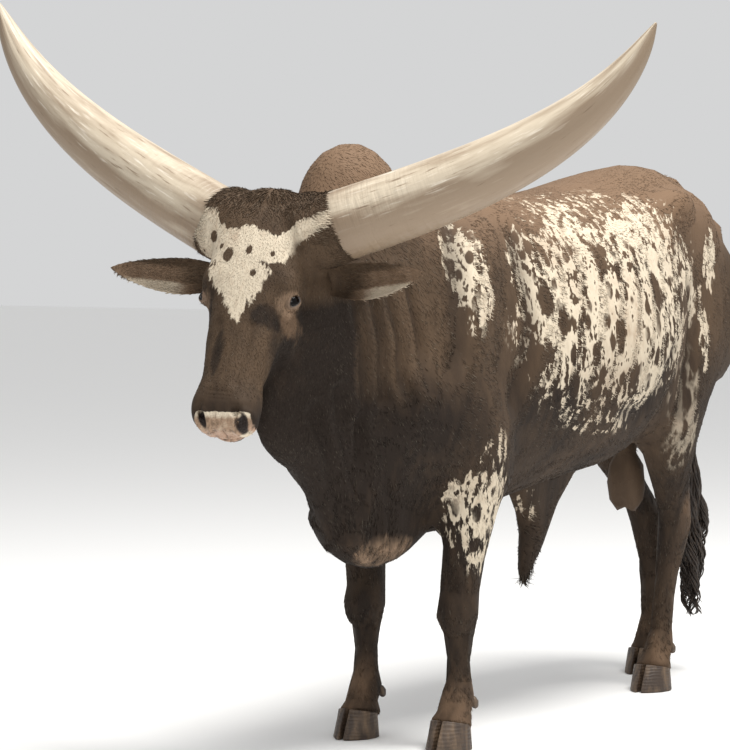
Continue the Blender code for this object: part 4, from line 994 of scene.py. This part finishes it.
# Coat
# Thin pointed tufts of hair, each lying along the body over the next: short on the face and
# feet, longer on the poll, the rims of the ears, the brisket and the end of the sheath.
TUFTS = 142000
TUFTS_A_PIECE = 19000
PATCH = 0.003
ROOT_DEPTH = 0.0012
ROOT_RIDGE = 0.0010
TUFT_GAP = 0.0004

edit(skin, bpy.ops.uv.smart_project, angle_limit=math.radians(66), island_margin=0.001)
skin.data.uv_layers[0].name = "OFBake"
skin.data.calc_loop_triangles()
corners = column(skin.data.loop_triangles, "vertices", 3, np.int32)
loops = column(skin.data.loop_triangles, "loops", 3, np.int32)
unwrap = column(skin.data.uv_layers["OFBake"].uv, "vector", 2).astype(float)
spots = on_bull(skin)
ways = column(skin.data.vertices, "normal").astype(float)
edges = spots[corners]
areas = np.linalg.norm(np.cross(edges[:, 1] - edges[:, 0], edges[:, 2] - edges[:, 0]), axis=1) / 2
middles = edges.mean(1)
faces_on = on_face(middles)
sides, backs, ups = middles.T
mirrored = np.abs(sides)

head_zone = ease(-np.linalg.norm(faces_on * (1, 0.62, 0.8), axis=1), -0.42, -0.34) * ease(-backs, 0.44, 0.50)
muzzle_zone = ease(faces_on[:, 1] - faces_on[:, 2] * 0.25, 0.46, 0.50) * ease(faces_on[:, 2], -0.13, -0.07)
muzzle_zone *= head_zone
poll_zone = head_zone * ease(-faces_on[:, 1], -0.085, 0.0) * ease(0.17 - np.abs(faces_on[:, 0]), 0.0, 0.04)
horn_zone = head_zone * ease(np.abs(faces_on[:, 0]), 0.12, 0.15) * ease(ups, 1.235, 1.26)
ear_zone = head_zone * ease(np.abs(faces_on[:, 0]), 0.15, 0.18) * ease(-ups, -1.245, -1.225)
leg_zone = ease(-ups, -0.78, -0.62) * ease(mirrored, 0.035, 0.055)
foot_zone = ease(-ups, -0.16, -0.10)
coronet_zone = ease(-ups, -0.088, -0.078) * leg_zone
belly_zone = ease(-ups, -0.74, -0.66) * ease(-mirrored, -0.10, -0.05)
belly_zone = belly_zone * ease(backs, 0.20, 0.35) * ease(-backs, -0.90, -0.75)
brisket_zone = ease(-ups, -0.70, -0.56) * ease(-backs, -0.06, 0.06)
brisket_zone = brisket_zone * ease(ups, 0.42, 0.46) * ease(-mirrored, -0.11, -0.05)
tail_zone = ease(backs, 1.38, 1.42)
sheath_tip = ease(-ups, -0.42, -0.37) * ease(-mirrored, -0.06, -0.05)
sheath_tip = sheath_tip * ease(-np.abs(backs - 0.54), -0.10, -0.08)
scrotum_zone = ease(-mirrored, -0.085, -0.07) * ease(-ups, -0.70, -0.66)
scrotum_zone = scrotum_zone * ease(backs, 1.0, 1.03) * ease(-backs, -1.22, -1.18) * ease(ups, 0.44, 0.47)
hump_zone = ease(ups, 1.22, 1.32) * (1 - head_zone)


def blend(base, *shares):
    """A number for each face: a base value, then each zone's own value by its share."""
    numbers = np.full(len(middles), float(base))
    for zone, value in shares:
        numbers += (value - numbers) * zone
    return numbers


length = blend(0.014, (hump_zone, 0.011), (leg_zone, 0.012), (foot_zone * leg_zone, 0.010),
               (head_zone, 0.0075), (poll_zone, 0.018), (horn_zone, 0.018), (ear_zone, 0.012),
               (belly_zone, 0.018), (brisket_zone, 0.018), (sheath_tip, 0.040),
               (tail_zone, 0.018), (scrotum_zone, 0.006), (coronet_zone, 0.015))
breadth = blend(0.0023, (hump_zone, 0.0018), (leg_zone, 0.0019), (head_zone, 0.0015), (poll_zone, 0.0024),
                (horn_zone, 0.0022), (ear_zone, 0.0017), (scrotum_zone, 0.0015))
rise = blend(0.030, (poll_zone, 0.12), (ear_zone, 0.12), (sheath_tip, 0.04), (horn_zone, 0.10),
             (foot_zone * leg_zone, 0.08), (scrotum_zone, 0.04), (head_zone * (1 - poll_zone), 0.06))
density = blend(1.0, (hump_zone, 1.3), (leg_zone, 1.4), (head_zone, 2.8), (poll_zone, 3.0), (horn_zone, 4.2),
                (ear_zone, 4.0), (sheath_tip, 3.0), (muzzle_zone, 0.0), (scrotum_zone, 0.4),
                (coronet_zone, 3.5))

BACK_LIE = np.array((0.0, 1.0, -0.42))
NECK_LIE = np.array((0.0, 0.62, -0.80))
LEG_LIE = np.array((0.0, 0.22, -1.0))
TAIL_LIE = np.array((0.0, 0.1, -1.0))
FACE_LIE = np.array((0.55 * FACE_DOWN + 0.25 * Vector((0, 0, -1)))[:])
lie = np.tile(BACK_LIE, (len(middles), 1))
for zone, way in ((ease(-backs, 0.02, 0.22), NECK_LIE), (leg_zone, LEG_LIE), (tail_zone, TAIL_LIE),
                  (sheath_tip, TAIL_LIE)):
    lie += (way - lie) * zone[:, None]
face_lie = np.tile(FACE_LIE, (len(middles), 1)) + np.sign(faces_on[:, :1]) * FACE_AXES[0] * 0.25
lie += (face_lie - lie) * head_zone[:, None]
outwards = np.sign(faces_on[:, :1]) * FACE_AXES[0]
lie += (outwards - lie) * np.maximum(horn_zone, ear_zone)[:, None]

rng = np.random.default_rng(5)
spread = np.cumsum(areas * density)
drawn = (np.arange(TUFTS) + rng.uniform(0, 1, TUFTS)) / TUFTS * spread[-1]
chosen = np.minimum(np.searchsorted(spread, drawn), len(areas) - 1)
first, second = rng.uniform(0, 1, (2, TUFTS))
folded = first + second > 1
first[folded], second[folded] = 1 - first[folded], 1 - second[folded]
shares = np.column_stack([1 - first - second, first, second])
tuft_root = (spots[corners[chosen]] * shares[:, :, None]).sum(1)
tuft_way = (ways[corners[chosen]] * shares[:, :, None]).sum(1)
tuft_way /= np.linalg.norm(tuft_way, axis=1)[:, None]
tuft_patch = (unwrap[loops[chosen]] * shares[:, :, None]).sum(1)
tuft_inner = (inner[corners[chosen]] * shares).sum(1)
tuft_lie = lie[chosen] + rng.normal(0, 0.16, (TUFTS, 3))
tuft_lie -= tuft_way * (tuft_lie * tuft_way).sum(1)[:, None]
tuft_lie /= np.linalg.norm(tuft_lie, axis=1)[:, None]
tuft_side = np.cross(tuft_way, tuft_lie)
long = (length[chosen] * rng.uniform(0.7, 1.25, TUFTS))[:, None]
broad = (breadth[chosen] * rng.uniform(0.7, 1.25, TUFTS))[:, None]
tall = long * (rise[chosen] * rng.uniform(0.5, 1.4, TUFTS))[:, None]
thick = broad * 0.18
bend = rng.normal(0, 0.10, (TUFTS, 1)) * long
sunk = tuft_root - tuft_way * ROOT_DEPTH
half_way = tuft_root + tuft_lie * long * 0.5 + tuft_way * (tall * 0.62) + tuft_side * bend * 0.3
tips = tuft_root + tuft_lie * long + tuft_way * tall + tuft_side * bend
stations = [sunk - tuft_side * broad * 0.38, sunk + tuft_side * broad * 0.38,
            sunk + tuft_way * (thick + ROOT_RIDGE), half_way - tuft_side * broad * 0.5,
            half_way + tuft_side * broad * 0.5, half_way + tuft_way * thick, tips]
TUFT_POINTS = len(stations)
tuft_points = np.stack(stations, 1)
tuft_points[:, :, 1] = np.maximum(tuft_points[:, :, 1], FOREMOST - TUFT_GAP)
TUFT_FACES = np.array([(0, 2, 1), (0, 1, 4), (0, 4, 3), (1, 2, 5), (1, 5, 4), (2, 0, 3), (2, 3, 5),
                       (3, 4, 6), (4, 5, 6), (5, 3, 6)])
TUFT_PATCH = PATCH * np.array([(-0.4, -0.5), (0.4, -0.5), (0.0, -0.5), (-0.5, 0.0), (0.5, 0.0), (0.0, 0.0),
                               (0.0, 0.5)])
tuft_shade = rng.normal(0, 0.36, TUFTS).clip(-1, 1)
# Each tuft carries the painted fold shade of its root.
tuft_fold_shade = (painted_fold_shade[corners[chosen]] * shares).sum(1)

region = np.select([head_zone[chosen] > 0.5, ups[chosen] < 0.70, backs[chosen] < 0.10, sides[chosen] > 0],
                   [0, 1, 2, 3], 4)
for number, part in enumerate(("head", "legs", "neck", "left", "right")):
    members = np.flatnonzero(region == number)
    pieces = math.ceil(len(members) / TUFTS_A_PIECE)
    for piece, own in enumerate(np.array_split(members, pieces)):
        name = f"coat_{part}_{piece + 1}"
        mesh = bpy.data.meshes.new(name)
        mesh.vertices.add(len(own) * TUFT_POINTS)
        mesh.vertices.foreach_set("co", (tuft_points[own] + np.array(SHIFT[:])).astype(np.float32).ravel())
        faces = (TUFT_FACES[None] + np.arange(len(own))[:, None, None] * TUFT_POINTS).reshape(-1)
        mesh.loops.add(len(faces))
        mesh.loops.foreach_set("vertex_index", faces.astype(np.int32))
        mesh.polygons.add(len(faces) // 3)
        mesh.polygons.foreach_set("loop_start", np.arange(0, len(faces), 3, dtype=np.int32))
        mesh.update(calc_edges=True)
        flat = mesh.uv_layers.new(name="OFBake")
        places = tuft_patch[own][:, None, None] + TUFT_PATCH[TUFT_FACES][None]
        flat.uv.foreach_set("vector", places.astype(np.float32).ravel())
        tufts = added(name, mesh)
        carry(tufts, "root", "FLOAT_VECTOR", np.repeat(tuft_root[own], TUFT_POINTS, axis=0))
        for mark, numbers in (("shade", tuft_shade), ("inner", tuft_inner), ("folded", tuft_fold_shade)):
            carry(tufts, mark, "FLOAT", np.repeat(numbers[own], TUFT_POINTS))
        mesh.shade_smooth()
        mesh.materials.append(hide.material)
        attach(tufts, "root")
